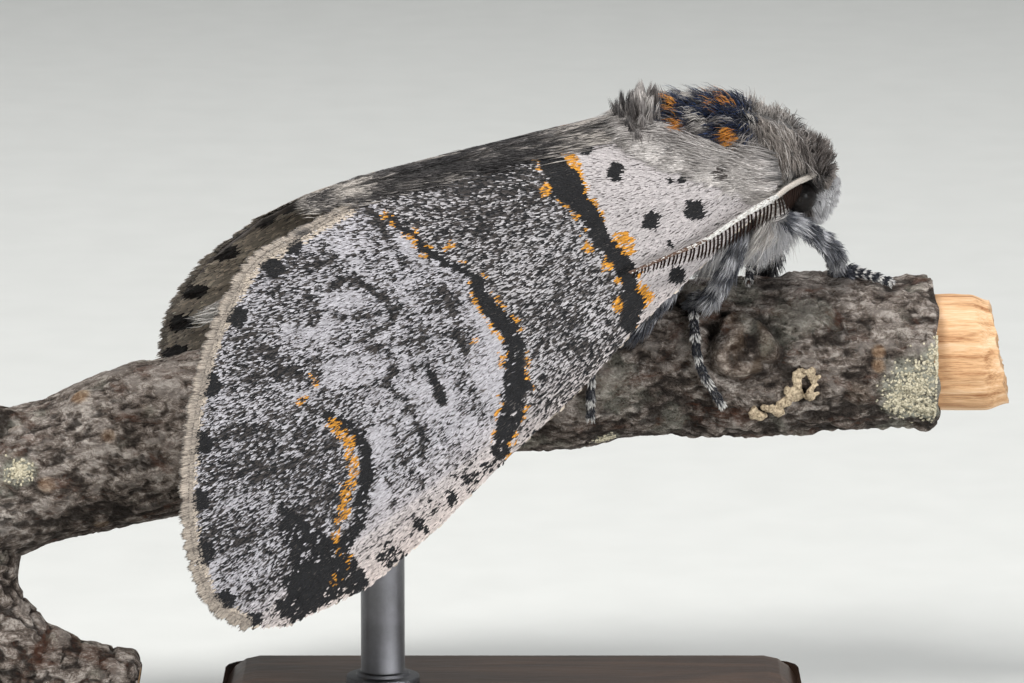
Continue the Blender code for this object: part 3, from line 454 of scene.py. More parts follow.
def polyline_at(points, t):
    points = np.asarray(points, float)
    steps = np.linalg.norm(np.diff(points, axis=0), axis=1)
    along = np.concatenate([[0.0], np.cumsum(steps)])
    along = along / along[-1]
    return np.stack([np.interp(t, along, points[:, k]) for k in range(points.shape[1])], axis=-1)


def curve_at(keys, t):
    """A smooth curve through the keys, with t from 0 at the first to 1 at the last."""
    keys = np.asarray(keys, float)
    last = len(keys) - 1
    place = np.clip(np.asarray(t, float), 0.0, 1.0) * last
    index = np.minimum(place.astype(int), last - 1)
    local = (place - index)[..., None]
    before = keys[np.maximum(index - 1, 0)]
    start = keys[index]
    end = keys[index + 1]
    after = keys[np.minimum(index + 2, last)]
    leave = (end - before) / 2.0
    arrive = (after - start) / 2.0
    return (
        start * (1 + 2 * local) * (1 - local) ** 2
        + leave * local * (1 - local) ** 2
        + end * local**2 * (3 - 2 * local)
        - arrive * local**2 * (1 - local)
    )


def nearest_on(points, line):
    """For each point its distance from a line of points, the side it is on and its share along."""
    line = np.asarray(line, float)
    best = np.full(len(points), np.inf)
    side = np.zeros(len(points))
    share = np.zeros(len(points))
    for index in range(len(line) - 1):
        start = line[index]
        step = line[index + 1] - start
        local = np.clip(((points - start) @ step) / (step @ step), 0.0, 1.0)
        apart = points - start - local[:, None] * step
        far = np.linalg.norm(apart, axis=1)
        closer = far < best
        best = np.where(closer, far, best)
        turn = np.sign(step[0] * apart[:, 1] - step[1] * apart[:, 0])
        side = np.where(closer, turn, side)
        share = np.where(closer, index + local, share)
    return best, side, share


def inside(points, outline):
    """Whether points of a plane lie inside a closed outline."""
    outline = np.asarray(outline, float)
    found = np.zeros(len(points), bool)
    for start, end in zip(outline, np.roll(outline, -1, axis=0)):
        crosses = (start[1] > points[:, 1]) != (end[1] > points[:, 1])
        rise = end[1] - start[1] + 1e-12
        at = start[0] + (points[:, 1] - start[1]) * (end[0] - start[0]) / rise
        found ^= crosses & (points[:, 0] < at)
    return found


def station_points(stations, t, angle, grow):
    """Points of a body surface in body coordinates."""
    x, width, top, bottom, centre = np.moveaxis(curve_at(stations, t), -1, 0)
    sine = np.sin(angle)
    height = np.where(sine > 0, top, bottom)
    wide = np.maximum(width + grow, 0.05)
    high = np.maximum(height + grow, 0.05)
    return np.stack([x, wide * np.cos(angle), centre + high * sine], axis=-1)


def surface_steps(stations, t, angle, grow):
    """Small steps back along a body surface and around it."""
    ahead, behind = (station_points(stations, t + step, angle, grow) for step in (-0.01, 0.01))
    right, left = (station_points(stations, t, angle + step, grow) for step in (-0.01, 0.01))
    return behind - ahead, left - right


def surface_frames(stations, t, angle, grow):
    """Points of a body surface with the directions out of it and back along it."""
    point = station_points(stations, t, angle, grow)
    back, around = surface_steps(stations, t, angle, grow)
    out = unit(np.cross(back, around))
    keys = curve_at(stations, t)
    centre = np.stack([keys[..., 0], np.zeros_like(t), keys[..., 4]], axis=-1)
    facing = np.sign(np.einsum("...i,...i->...", out, point - centre))
    facing = np.where(facing == 0, 1.0, facing)
    return point, out * facing[..., None], unit(back)


def scatter(stations, count, grow, draw, spread=None):
    """Places evenly over a body surface, thinned by spread where it is given."""
    t = draw.uniform(0.02, 0.98, count * 6)
    angle = draw.uniform(0.0, 2 * math.pi, count * 6)
    area = np.linalg.norm(np.cross(*surface_steps(stations, t, angle, grow)), axis=-1)
    if spread is not None:
        area = area * spread(station_points(stations, t, angle, grow))
    keep = draw.uniform(0.0, 1.0, len(t)) < area / np.percentile(area, 99.5)
    return t[keep][:count], angle[keep][:count]


# Roof of the wings


def roof_tables():
    reach = np.linspace(0.0, ROOF_REACH, 321)
    ridge, shoulder, edge = ROOF_SLOPES
    slope = ridge + (shoulder - ridge) * smooth(reach / SHOULDER_REACH)
    slope = slope + (edge - shoulder) * np.clip((reach - SHOULDER_REACH) / 10.0, 0.0, 1.0)
    slope = np.radians(slope)
    step = reach[1] - reach[0]
    out = np.concatenate([[0.0], np.cumsum((np.cos(slope[1:]) + np.cos(slope[:-1])) / 2 * step)])
    drop = np.concatenate([[0.0], np.cumsum((np.sin(slope[1:]) + np.sin(slope[:-1])) / 2 * step)])
    return reach, out, drop, slope


ROOF = roof_tables()


def roof_point(x, across, side, lift=0.0):
    """Points over the roof: across from the ridge, side -1 right or 1 left, lifted off it."""
    reach, out, drop, slope = ROOF
    out_at = np.interp(across, reach, out) + np.minimum(across, 0.0)
    drop_at = np.interp(across, reach, drop)
    slope_at = np.interp(across, reach, slope)
    if side > 0:
        drop_at = drop_at + FAR_WING_SAG * smooth((-x - 10.5) / 6.0)
    y = RIDGE_HALF_GAP + out_at + np.sin(slope_at) * lift
    z = RIDGE_HEIGHT - drop_at + np.cos(slope_at) * lift
    return np.stack([np.broadcast_to(x, np.shape(y)), side * y, z], axis=-1)


def on_roof(x, across, side, lift=0.0):
    return body(roof_point(x, across, side, lift))


def outline_patch(dorsum, costa, termen, rows, columns):
    """A grid over a wing's outline: rows from root to termen, columns from dorsum to costa."""
    along = np.linspace(0.0, 1.0, rows)
    over = np.linspace(0.0, 1.0, columns)
    low = polyline_at(dorsum, along)[:, None, :]
    high = polyline_at(costa, along)[:, None, :]
    near = polyline_at((low[0, 0], high[0, 0]), over)[None, :, :]
    far = polyline_at(termen, over)[None, :, :]
    u = along[:, None, None]
    v = over[None, :, None]
    corners = (
        (1 - u) * (1 - v) * low[0, 0]
        + u * (1 - v) * low[-1, 0]
        + (1 - u) * v * high[0, 0]
        + u * v * high[-1, 0]
    )
    return (1 - v) * low + v * high + (1 - u) * near + u * far - corners


def wing_relief(x, across):
    """Height of the veins and of the slow waves of the sheet."""
    points = np.stack([np.ravel(x), np.ravel(across)], axis=-1)
    height = np.zeros(len(points))
    for vein in VEINS:
        far = nearest_on(points, polyline_at(vein, np.linspace(0.0, 1.0, 14)))[0]
        height = np.maximum(height, VEIN_HEIGHT * np.exp(-((far / VEIN_WIDTH) ** 2)))
    height += 0.10 * (cloud(points, 3.4, 5, 2) - 0.5)
    return height.reshape(np.shape(x))


# Meshes from arrays


def colour_points(mesh, tint):
    colours = np.ones((len(mesh.vertices), 4), np.float32)
    colours[:, :3] = tint
    mesh.attributes.new("tint", "FLOAT_COLOR", "POINT").data.foreach_set("color", colours.ravel())


def piece(name, points, faces, finish, slot, replaces=(), tint=None, patch=None, extra=None):
    """A smooth-shaded piece from world points in millimetres, with colours and a bake map if given."""
    points = np.asarray(points, np.float32) * MM
    faces = np.asarray(faces, np.int32)
    size = faces.shape[1]
    mesh = bpy.data.meshes.new(name)
    mesh.vertices.add(len(points))
    mesh.vertices.foreach_set("co", points.ravel())
    mesh.loops.add(faces.size)
    mesh.loops.foreach_set("vertex_index", faces.ravel())
    mesh.polygons.add(len(faces))
    mesh.polygons.foreach_set("loop_start", np.arange(len(faces), dtype=np.int32) * size)
    mesh.polygons.foreach_set("use_smooth", np.ones(len(faces), bool))
    mesh.update(calc_edges=True)
    if tint is not None:
        colour_points(mesh, tint)
    for label, values in (extra or {}).items():
        layer = mesh.attributes.new(label, "FLOAT", "POINT")
        layer.data.foreach_set("value", np.asarray(values, np.float32).ravel())
    if patch is not None:
        corners = np.asarray(patch, np.float32)[faces.ravel()]
        mesh.uv_layers.new(name="OFBake").data.foreach_set("uv", corners.ravel())
    mesh.validate()
    obj = bpy.data.objects.new(name, mesh)
    bpy.context.scene.collection.objects.link(obj)
    return dress(obj, finish, replaces)


def dress(obj, finish, replaces=()):
    """Gives a piece its finish, parents it to the root and hides the parts that it stands for."""
    obj.data.materials.clear()
    obj.data.materials.append(finish.material)
    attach(obj, "root")
    if replaces:
        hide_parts(*replaces)
    return obj


def patch_at(roots, local):
    """Bake map places: a small patch for each root, which the local places from 0 to 1 fill."""
    roots = np.clip(roots, BAKE_PATCH, 1.0 - BAKE_PATCH)
    return roots[:, None, :] + BAKE_PATCH * (np.asarray(local)[None, :, :] - 0.5)


def strands(paths, widths, facing, depth):
    """Closed three-sided strands that taper to a point: points, faces and places in a patch."""
    count, steps = paths.shape[:2]
    tangents = np.gradient(paths, axis=1)
    side = unit(np.cross(tangents, facing[:, None, :]))
    rise = unit(np.cross(side, tangents))
    rings = []
    for across, up in ((-0.5, -0.3 * depth), (0.5, -0.3 * depth), (0.0, 0.7 * depth)):
        rings.append(paths + widths[..., None] * (across * side + up * rise))
    rings = np.stack(rings, axis=2)[:, :-1]
    points = np.concatenate([rings.reshape(count, -1, 3), paths[:, -1:]], axis=1)
    faces = []
    for row in range(steps - 2):
        for corner in range(3):
            a = row * 3 + corner
            b = row * 3 + (corner + 1) % 3
            faces += [(a, b, b + 3), (a, b + 3, a + 3)]
    last = (steps - 2) * 3
    for corner in range(3):
        faces.append((last + corner, last + (corner + 1) % 3, last + 3))
    each = points.shape[1]
    faces = (np.arange(count)[:, None, None] * each + np.array(faces)).reshape(-1, 3)
    local = [(x, row / (steps - 1)) for row in range(steps - 1) for x in (0.0, 1.0, 0.5)]
    local.append((0.5, 1.0))
    return points, faces, np.array(local)


def strand_tints(tints):
    """Colours of each strand's points from a colour for each step of its path."""
    rings = np.repeat(tints[:, :-1, None, :], 3, axis=2).reshape(len(tints), -1, 3)
    return np.concatenate([rings, tints[:, -1:]], axis=1)


def coat(name, paths, widths, facing, tints, roots, finish, slot, depth):
    """One piece made of many strands, with world paths in millimetres."""
    points, faces, local = strands(paths, widths, facing, depth)
    colours = strand_tints(tints)
    return piece(
        name,
        points.reshape(-1, 3),
        faces,
        finish,
        slot,
        tint=colours.reshape(-1, 3),
        patch=patch_at(roots, local).reshape(-1, 2),
    )


def plates(name, roots, along, normals, length, width, tints, places, finish, slot):
    """One piece made of many small scales, each rooted low and lifted at its blunt tip."""
    over = unit(np.cross(normals, along))
    length = length[:, None]
    width = width[:, None]
    half = 0.5 * width * over
    lift = 0.2 * length * normals
    points = np.stack(
        [
            roots,
            roots + 0.45 * length * along + half + 0.45 * lift,
            roots + 0.45 * length * along - half + 0.45 * lift,
            roots + length * along + 0.55 * half + lift,
            roots + length * along - 0.55 * half + lift,
        ],
        axis=1,
    )
    faces = np.array([(0, 2, 1), (1, 2, 4), (1, 4, 3)])
    faces = (np.arange(len(roots))[:, None, None] * 5 + faces).reshape(-1, 3)
    local = np.array([(0.5, 0.0), (1.0, 0.45), (0.0, 0.45), (0.8, 1.0), (0.2, 1.0)])
    # Painted shade at each scale's root, where the scale before it lies over it, lighter towards the lifted
    # tip.
    painted_root_shade = np.array([0.82, 0.96, 0.96, 1.06, 1.06])
    colours = tints[:, None, :] * painted_root_shade[None, :, None]
    return piece(
        name,
        points.reshape(-1, 3),
        faces,
        finish,
        slot,
        tint=colours.reshape(-1, 3),
        patch=patch_at(places, local).reshape(-1, 2),
    )


def tube(path, radii, sides):
    """A round tube along world points, its ring turned as little as possible."""
    path = np.array(path, float)
    tangents = unit(np.gradient(path, axis=0))
    side = unit(np.cross(tangents[0], np.eye(3)[np.argmin(np.abs(tangents[0]))]))
    angles = np.arange(sides) * 2 * math.pi / sides
    rings = []
    for point, tangent, radius in zip(path, tangents, np.broadcast_to(radii, len(path))):
        side = unit(side - tangent * (side @ tangent))
        other = np.cross(tangent, side)
        rings.append(point + radius * (np.cos(angles)[:, None] * side + np.sin(angles)[:, None] * other))
    return ring_mesh(np.array(rings))


def ring_mesh(rings, closed=True):
    """Points and triangles of a stack of closed rings, with a fan at each end if closed."""
    count, sides = rings.shape[:2]
    row = np.arange(count - 1)[:, None] * sides
    a = row + np.arange(sides)[None, :]
    b = row + (np.arange(sides)[None, :] + 1) % sides
    lower = np.stack([a, b, b + sides], -1)
    upper = np.stack([a, b + sides, a + sides], -1)
    faces = np.concatenate([lower.reshape(-1, 3), upper.reshape(-1, 3)])
    points = rings.reshape(-1, 3)
    if closed:
        points = np.concatenate([points, [rings[0].mean(axis=0)], [rings[-1].mean(axis=0)]])
        here = np.arange(sides)
        there = (here + 1) % sides
        first = np.full(sides, count * sides)
        end = (count - 1) * sides
        faces = np.concatenate(
            [faces, np.stack([first, there, here], -1), np.stack([first + 1, end + here, end + there], -1)]
        )
    corners = points[faces] - points.mean(axis=0)
    if np.einsum("ij,ij->i", corners[:, 0], np.cross(corners[:, 1], corners[:, 2])).sum() < 0:
        faces = faces[:, ::-1]
    return points, faces


def joined(parts):
    """Several meshes of points and faces as one."""
    points = []
    faces = []
    offset = 0
    for part_points, part_faces in parts:
        points.append(part_points)
        faces.append(np.asarray(part_faces) + offset)
        offset += len(part_points)
    return np.concatenate(points), np.concatenate(faces)


# Finishes


class Value:
    """A number or colour that a shader works out, for use in Python expressions."""

    def __init__(self, finish, socket):
        self.finish = finish
        self.socket = socket

    def math(self, operation, other, turned=False):
        pair = {0: other, 1: self} if turned else {0: self, 1: other}
        return self.finish.node("ShaderNodeMath", {"operation": operation}, pair)

    def __add__(self, other):
        return self.math("ADD", other)

    def __radd__(self, other):
        return self.math("ADD", other, True)

    def __sub__(self, other):
        return self.math("SUBTRACT", other)

    def __rsub__(self, other):
        return self.math("SUBTRACT", other, True)

    def __mul__(self, other):
        return self.math("MULTIPLY", other)

    def __rmul__(self, other):
        return self.math("MULTIPLY", other, True)


class Finish:
    """A material whose nodes are added one by one to its Principled shader."""

    def __init__(self, name, **constants):
        self.material = bpy.data.materials.new(name)
        self.material.use_nodes = True
        self.tree = self.material.node_tree
        self.shader = self.tree.nodes["Principled BSDF"]
        for label, value in constants.items():
            self.shader.inputs[label.replace("_", " ")].default_value = value

    def node(self, kind, settings=None, inputs=None, output=0):
        made = self.tree.nodes.new(kind)
        for label, value in (settings or {}).items():
            if label == "stops":
                self.set_stops(made.color_ramp, value)
            else:
                setattr(made, label, value)
        for label, value in (inputs or {}).items():
            self.feed(made.inputs[label], value)
        return Value(self, made.outputs[output])

    def feed(self, socket, value):
        if isinstance(value, Value):
            self.tree.links.new(value.socket, socket)
        else:
            socket.default_value = value

    def set_stops(self, ramp, stops):
        while len(ramp.elements) < len(stops):
            ramp.elements.new(1.0)
        for element, (place, colour) in zip(ramp.elements, stops):
            element.position = place
            element.color = (*paint(colour), 1.0)

    def drive(self, **inputs):
        for label, value in inputs.items():
            self.feed(self.shader.inputs[label.replace("_", " ")], value)
        return self

    def place(self, stretch=(1.0, 1.0, 1.0)):
        """Object coordinates, stretched along each axis."""
        spot = self.node("ShaderNodeTexCoord", output="Object")
        return self.node("ShaderNodeMapping", {}, {"Vector": spot, "Scale": stretch})

    def noise(self, size, detail=4.0, rough=0.55, stretch=(1.0, 1.0, 1.0), twist=0.0):
        """Noise whose features have this size in millimetres."""
        inputs = {
            "Vector": self.place(stretch),
            "Scale": 1.0 / (size * MM),
            "Detail": detail,
            "Roughness": rough,
            "Distortion": twist,
        }
        return self.node("ShaderNodeTexNoise", {}, inputs)

    def cells(self, size, feature="F1"):
        inputs = {"Vector": self.place(), "Scale": 1.0 / (size * MM)}
        return self.node("ShaderNodeTexVoronoi", {"feature": feature}, inputs)

    def ramp(self, factor, stops):
        return self.node("ShaderNodeValToRGB", {"stops": stops}, {0: factor})

    def between(self, factor, dark, pale, low=0.3, high=0.7):
        return self.ramp(factor, ((low, dark), (high, pale)))

    def rerange(self, value, low, high, to_low=0.0, to_high=1.0):
        inputs = {"Value": value, "From Min": low, "From Max": high, "To Min": to_low, "To Max": to_high}
        return self.node("ShaderNodeMapRange", {}, inputs)

    def rough(self, value, low, high):
        """Roughness between two values over the middle of a noise."""
        return self.rerange(value, 0.3, 0.7, low, high)

    def mix(self, factor, first, second, blend="MIX"):
        settings = {"data_type": "RGBA", "blend_type": blend}
        return self.node("ShaderNodeMix", settings, {0: factor, 6: first, 7: second}, 2)

    def tint(self):
        return self.node("ShaderNodeAttribute", {"attribute_name": "tint"}, output="Color")

    def field(self, label):
        return self.node("ShaderNodeAttribute", {"attribute_name": label}, output="Fac")

    def bump(self, height, depth, strength=1.0):
        inputs = {"Height": height, "Distance": depth * MM, "Strength": strength}
        return self.node("ShaderNodeBump", {}, inputs)


def seen(colour):
    return (*paint(colour), 1.0)


def scale_finish():
    """Silky scales: each has its own colour, with fine ribs along and a soft sheen."""
    finish = Finish("wing scales", Sheen_Weight=0.05, Sheen_Roughness=0.4, Specular_IOR_Level=0.3)
    ribs = finish.noise(0.02, 2.0, 0.6)
    colour = finish.mix(ribs * 0.22, finish.tint(), seen((240, 238, 235)), "SOFT_LIGHT")
    rough = finish.rough(finish.noise(0.3), 0.48, 0.66)
    return finish.drive(Base_Color=colour, Roughness=rough, Normal=finish.bump(ribs, 0.006, 0.6))


def membrane_finish(name, dark, pale):
    """The sheet under the scales, clouded, with fine wrinkles."""
    finish = Finish(name, Specular_IOR_Level=0.3)
    clouds = finish.noise(1.1, 6.0, 0.6)
    fine = finish.noise(0.06, 3.0, 0.6)
    colour = finish.between(clouds * 0.6 + fine * 0.4, dark, pale, 0.32, 0.68)
    rough = finish.rough(fine, 0.55, 0.8)
    return finish.drive(Base_Color=colour, Roughness=rough, Normal=finish.bump(fine, 0.012))


def hair_finish(name, rough_low, rough_high, sheen):
    """Hair with a colour for each step from root to tip, darker at the root as painted shade, streaked and
    slightly glossy.
    """
    finish = Finish(name, Sheen_Weight=sheen, Sheen_Roughness=0.35, Specular_IOR_Level=0.4)
    streak = finish.noise(0.045, 3.0, 0.6)
    streaks = finish.between(streak, (96, 94, 92), (170, 168, 166))
    colour = finish.mix(0.35, finish.tint(), streaks, "SOFT_LIGHT")
    rough = finish.rough(finish.noise(0.25), rough_low, rough_high)
    return finish.drive(Base_Color=colour, Roughness=rough, Normal=finish.bump(streak, 0.006, 0.7))


def skin_finish():
    """Skin under the coat, tinted by the same marks, with the short under-fur as fine relief."""
    finish = Finish("skin under the coat", Sheen_Weight=0.2, Specular_IOR_Level=0.25)
    fur = finish.noise(0.05, 5.0, 0.7, twist=0.4)
    colour = finish.mix(0.6, finish.tint(), finish.between(fur, (52, 48, 46), (150, 146, 142)), "OVERLAY")
    rough = finish.rough(fur, 0.7, 0.95)
    return finish.drive(Base_Color=colour, Roughness=rough, Normal=finish.bump(fur, 0.04))


def eye_finish():
    """A dark compound eye: rows of tiny facets, each with a soft highlight."""
    finish = Finish("compound eye", Coat_Roughness=0.2, Specular_IOR_Level=0.15)
    facets = finish.cells(0.034, "DISTANCE_TO_EDGE")
    mottle = finish.noise(0.22, 3.0)
    lens = finish.rerange(facets, 0.0, 0.25)
    stops = ((0.3, (6, 5, 5)), (0.6, (18, 13, 11)), (0.85, (34, 24, 20)))
    finish.drive(Base_Color=finish.ramp(mottle * 0.7 + lens * 0.3, stops), Coat_Weight=0.05 + 0.07 * lens)
    return finish.drive(Roughness=finish.rough(mottle, 0.16, 0.3), Normal=finish.bump(lens, 0.008))


def horn_finish(name, dark, pale, size, gloss=0.5):
    """Brown horn of teeth and claws, streaked and half glossy."""
    finish = Finish(name, Specular_IOR_Level=gloss)
    grain = finish.noise(size, 4.0, 0.6)
    rough = finish.rough(grain, 0.8 - gloss, 1.0 - gloss)
    colour = finish.between(grain, dark, pale)
    return finish.drive(Base_Color=colour, Roughness=rough, Normal=finish.bump(grain, 0.006))


def bark_finish():
    """Grey-brown bark: cracks darkened and crests lightened from the relief, partly their own dark and ashy
    colour and partly painted shade and painted highlight, with lichen film and reddish scars.
    """
    finish = Finish("bark", Specular_IOR_Level=0.25)
    relief = finish.field("relief")
    film = finish.field("lichen")
    scar = finish.field("scar")
    patches = finish.noise(1.6, 5.0, 0.6, (0.6, 1.0, 1.0), 0.6)
    fine = finish.noise(0.26, 12.0, 0.82, (0.6, 1.0, 1.0), 0.5)
    grit = finish.cells(0.10)
    stops = ((0.41, (32, 24, 20)), (0.5, (120, 108, 99)), (0.59, (214, 204, 195)))
    base = finish.ramp(patches * 0.25 + fine * 0.75, stops)
    # Painted highlight in part: raised places of the relief are lightened towards ash grey.
    crest = finish.mix(finish.rerange(relief, 0.55, 0.95, 0.0, 0.45), base, seen((168, 160, 153)))
    # Painted shade in part: cracks and low places of the relief, and on the twig its underside, are
    # darkened towards near black.
    cracked_and_shaded = finish.mix(finish.rerange(relief, 0.5, 0.05, 0.0, 0.85), crest, seen((30, 23, 19)))
    rust = finish.noise(1.1, 6.0, 0.75, (0.5, 1.0, 1.0), 0.5)
    cracked_and_shaded = finish.mix(finish.rerange(rust, 0.54, 0.66, 0.0, 0.55), cracked_and_shaded, seen((98, 58, 38)))
    scarred = finish.mix(scar, cracked_and_shaded, finish.between(fine, (112, 82, 60), (192, 164, 134), 0.42, 0.6))
    ashy = finish.between(fine, (112, 110, 98), (204, 204, 188))
    broken = finish.rerange(fine + grit * 0.4, 0.45, 0.75)
    colour = finish.mix(film * broken, scarred, ashy)
    rough = finish.rough(patches, 0.72, 0.95)
    height = fine * 0.75 + grit * 0.25
    return finish.drive(Base_Color=colour, Roughness=rough, Normal=finish.bump(height, 0.30))


def wood_finish(name, ring_scale):
    """Freshly cut wood: pale fibres along the twig and darker year lines."""
    finish = Finish(name, Specular_IOR_Level=0.3)
    fibre = finish.noise(0.05, 5.0, 0.65, (0.08, 1.0, 1.0), 0.2)
    years = finish.noise(ring_scale, 2.0, 0.5, (0.05, 1.0, 1.0), 0.4)
    stops = ((0.34, (150, 98, 58)), (0.5, (218, 174, 130)), (0.66, (242, 212, 178)))
    colour = finish.ramp(fibre * 0.45 + years * 0.55, stops)
    rough = finish.rough(fibre, 0.6, 0.85)
    return finish.drive(Base_Color=colour, Roughness=rough, Normal=finish.bump(fibre, 0.05))


def end_grain_finish():
    """Cut ends of the twig: rings round its axis, a dark rim at the bark and fine saw marks."""
    finish = Finish("end grain", Specular_IOR_Level=0.25)
    ring = finish.field("ring")
    waver = finish.noise(0.5, 3.0)
    lines = finish.node("ShaderNodeMath", {"operation": "SINE"}, {0: (ring + waver * 0.08) * 70.0})
    saw = finish.noise(0.06, 4.0, 0.7, (1.0, 0.2, 1.0))
    stops = ((0.2, (120, 84, 50)), (0.55, (190, 150, 104)), (0.8, (222, 192, 150)))
    colour = finish.ramp(lines * 0.2 + saw * 0.5 + 0.25, stops)
    dark = finish.mix(finish.rerange(ring, 0.84, 0.93), colour, seen((58, 42, 32)))
    rough = finish.rough(saw, 0.7, 0.9)
    return finish.drive(Base_Color=dark, Roughness=rough, Normal=finish.bump(saw, 0.04))


def crust_finish(name, dark, pale, size):
    """Dry crumbs and lichen: mottled, pitted and matt."""
    finish = Finish(name, Specular_IOR_Level=0.2)
    mottle = finish.noise(size, 5.0, 0.65)
    pits = finish.cells(size * 0.5)
    colour = finish.between(mottle * 0.7 + pits * 0.3, dark, pale, 0.28, 0.62)
    rough = finish.rough(mottle, 0.8, 0.95)
    return finish.drive(Base_Color=colour, Roughness=rough, Normal=finish.bump(mottle, size * 0.3))


def stand_wood_finish():
    """Dark stained, waxed wood with open pores."""
    finish = Finish("stained wood", Coat_Roughness=0.3, Specular_IOR_Level=0.4)
    figure = finish.noise(1.4, 3.0, 0.5, (0.12, 1.0, 1.0), 1.2)
    pores = finish.noise(0.10, 3.0, 0.7, (0.06, 1.0, 1.0))
    stops = ((0.3, (30, 20, 14)), (0.5, (62, 42, 30)), (0.7, (96, 68, 48)))
    colour = finish.ramp(figure * 0.65 + pores * 0.35, stops)
    finish.drive(Base_Color=colour, Coat_Weight=0.2 + 0.2 * figure)
    return finish.drive(Roughness=finish.rough(pores, 0.34, 0.56), Normal=finish.bump(pores, 0.02))


def stand_metal_finish():
    """Dark steel, brushed round the rod, with faint smudges."""
    finish = Finish("brushed steel", Metallic=1.0)
    brushed = finish.noise(0.03, 3.0, 0.6, (1.0, 1.0, 12.0))
    smudge = finish.noise(0.9, 3.0)
    colour = finish.between(brushed * 0.5 + smudge * 0.5, (92, 92, 94), (142, 142, 146))
    rough = finish.rough(smudge, 0.26, 0.42)
    return finish.drive(Base_Color=colour, Roughness=rough, Normal=finish.bump(brushed, 0.006))


def floor_finish():
    finish = Finish("pale floor", Specular_IOR_Level=0.2)
    speck = finish.noise(3.0, 4.0)
    colour = finish.between(speck, (214, 215, 212), (217, 218, 215))
    return finish.drive(Base_Color=colour, Roughness=finish.rough(speck, 0.6, 0.7))


# Marks


def ragged(places, size, seed):
    """An uneven offset for the edge of a mark, from -1 to 1."""
    return 2.0 * cloud(places, size, seed, 3) - 1.0


def patch_mask(places, patches, seed):
    """From 0 to 1 inside soft-edged patches given by centre and reach on each axis."""
    mask = np.zeros(len(places))
    for x, y, reach_x, reach_y in patches:
        far = np.hypot((places[:, 0] - x) / reach_x, (places[:, 1] - y) / reach_y)
        far = far + 0.30 * ragged(places, 9.0, seed)
        mask = np.maximum(mask, 1.0 - smooth((far - 0.55) / 0.75))
    return mask


def scale_luck(x, across, draw):
    """A random number for each scale that runs on in short streaks away from the root."""
    reach = np.hypot(x - FAN_CENTRE[0], across - FAN_CENTRE[1])
    angle = np.arctan2(across - FAN_CENTRE[1], FAN_CENTRE[0] - x)
    streak = cloud(np.stack([reach * 0.36, angle * 15.0], -1), 0.062, 44, 1)
    luck = 0.5 + 0.86 * (draw.uniform(0.0, 1.0, len(x)) - 0.5) + 0.42 * (streak - 0.5)
    return np.clip(luck, 0.0, 1.0)


def from_edge(x, across, line):
    """Distance of places on a wing from one of its edges."""
    return nearest_on(np.stack([x, across], -1), line)[0]


def wing_shade(x, across, places):
    """How many of the scales are dark at each place of the forewing, from 0 to 1."""
    near_costa = smooth((across - 5.0 - 0.42 * np.maximum(-x - 2.0, 0.0)) / 3.0)
    second_far, second_side, _ = nearest_on(places, MARK_SECOND_BAND)
    outer = second_side > 0
    basal = nearest_on(places, MARK_INNER_BAND)[1] < 0
    clouds = cloud(places, 26.0, 3, 3) - 0.5
    dark_patches = patch_mask(places, MARK_DARK_PATCHES, 21)
    white_patches = patch_mask(places, MARK_WHITE_PATCHES, 22)
    median = 0.55 + 0.14 * smooth((3.2 - across) / 2.4) + 0.26 * clouds
    median = median + 0.15 * dark_patches - 0.14 * near_costa
    left = smooth((400.0 - places[:, 0]) / 120.0)
    far_left = left * smooth((places[:, 1] - 390.0) / 60.0) * (1.0 - smooth((places[:, 1] - 545.0) / 60.0))
    outside = 0.40 + 0.36 * clouds + 0.12 * left + 0.04 * far_left
    outside -= 0.34 * smooth((30.0 - second_far) / 22.0) * smooth((places[:, 1] - 285.0) / 40.0)
    outside += 0.20 * dark_patches
    outside -= 0.30 * white_patches
    rim = from_edge(x, across, FORE_TERMEN) - FRINGE_DEPTH
    outside -= 0.08 * smooth((1.1 - rim) / 0.7)
    outside -= 0.44 * near_costa
    for line, reach, depth in (
        (MARK_WAVY_LINE, 5.0, 0.50),
        (MARK_UPPER_LINE, 5.0, 0.45),
        (MARK_DUSKY_LINE, 6.0, 0.45),
        (MARK_LOWER_DUSKY, 7.0, 0.34),
    ):
        far = nearest_on(places, line)[0] + 4.0 * ragged(places, 8.0, 31)
        outside = outside + depth * (1.0 - smooth((far - 0.2 * reach) / reach))
    far = nearest_on(places, MARK_DISCAL)[0] + 3.0 * ragged(places, 6.0, 32)
    outside = outside + 0.9 * (1.0 - smooth((far - 3.5) / 3.5))
    sooty = inside(places + 8.0 * ragged(places, 12.0, 33)[:, None], MARK_SOOTY_PATCH)
    outside = np.where(sooty, np.maximum(outside, 0.72 + 0.2 * clouds), outside)
    shade = np.where(outer, outside, median)
    shade = np.where(basal, 0.02 + 0.05 * near_costa, shade)
    veins = np.full(len(x), np.inf)
    for vein in VEINS:
        veins = np.minimum(veins, from_edge(x, across, vein))
    return shade + np.where(outer, 0.22, 0.06) * (veins < 0.06), outer, basal, near_costa


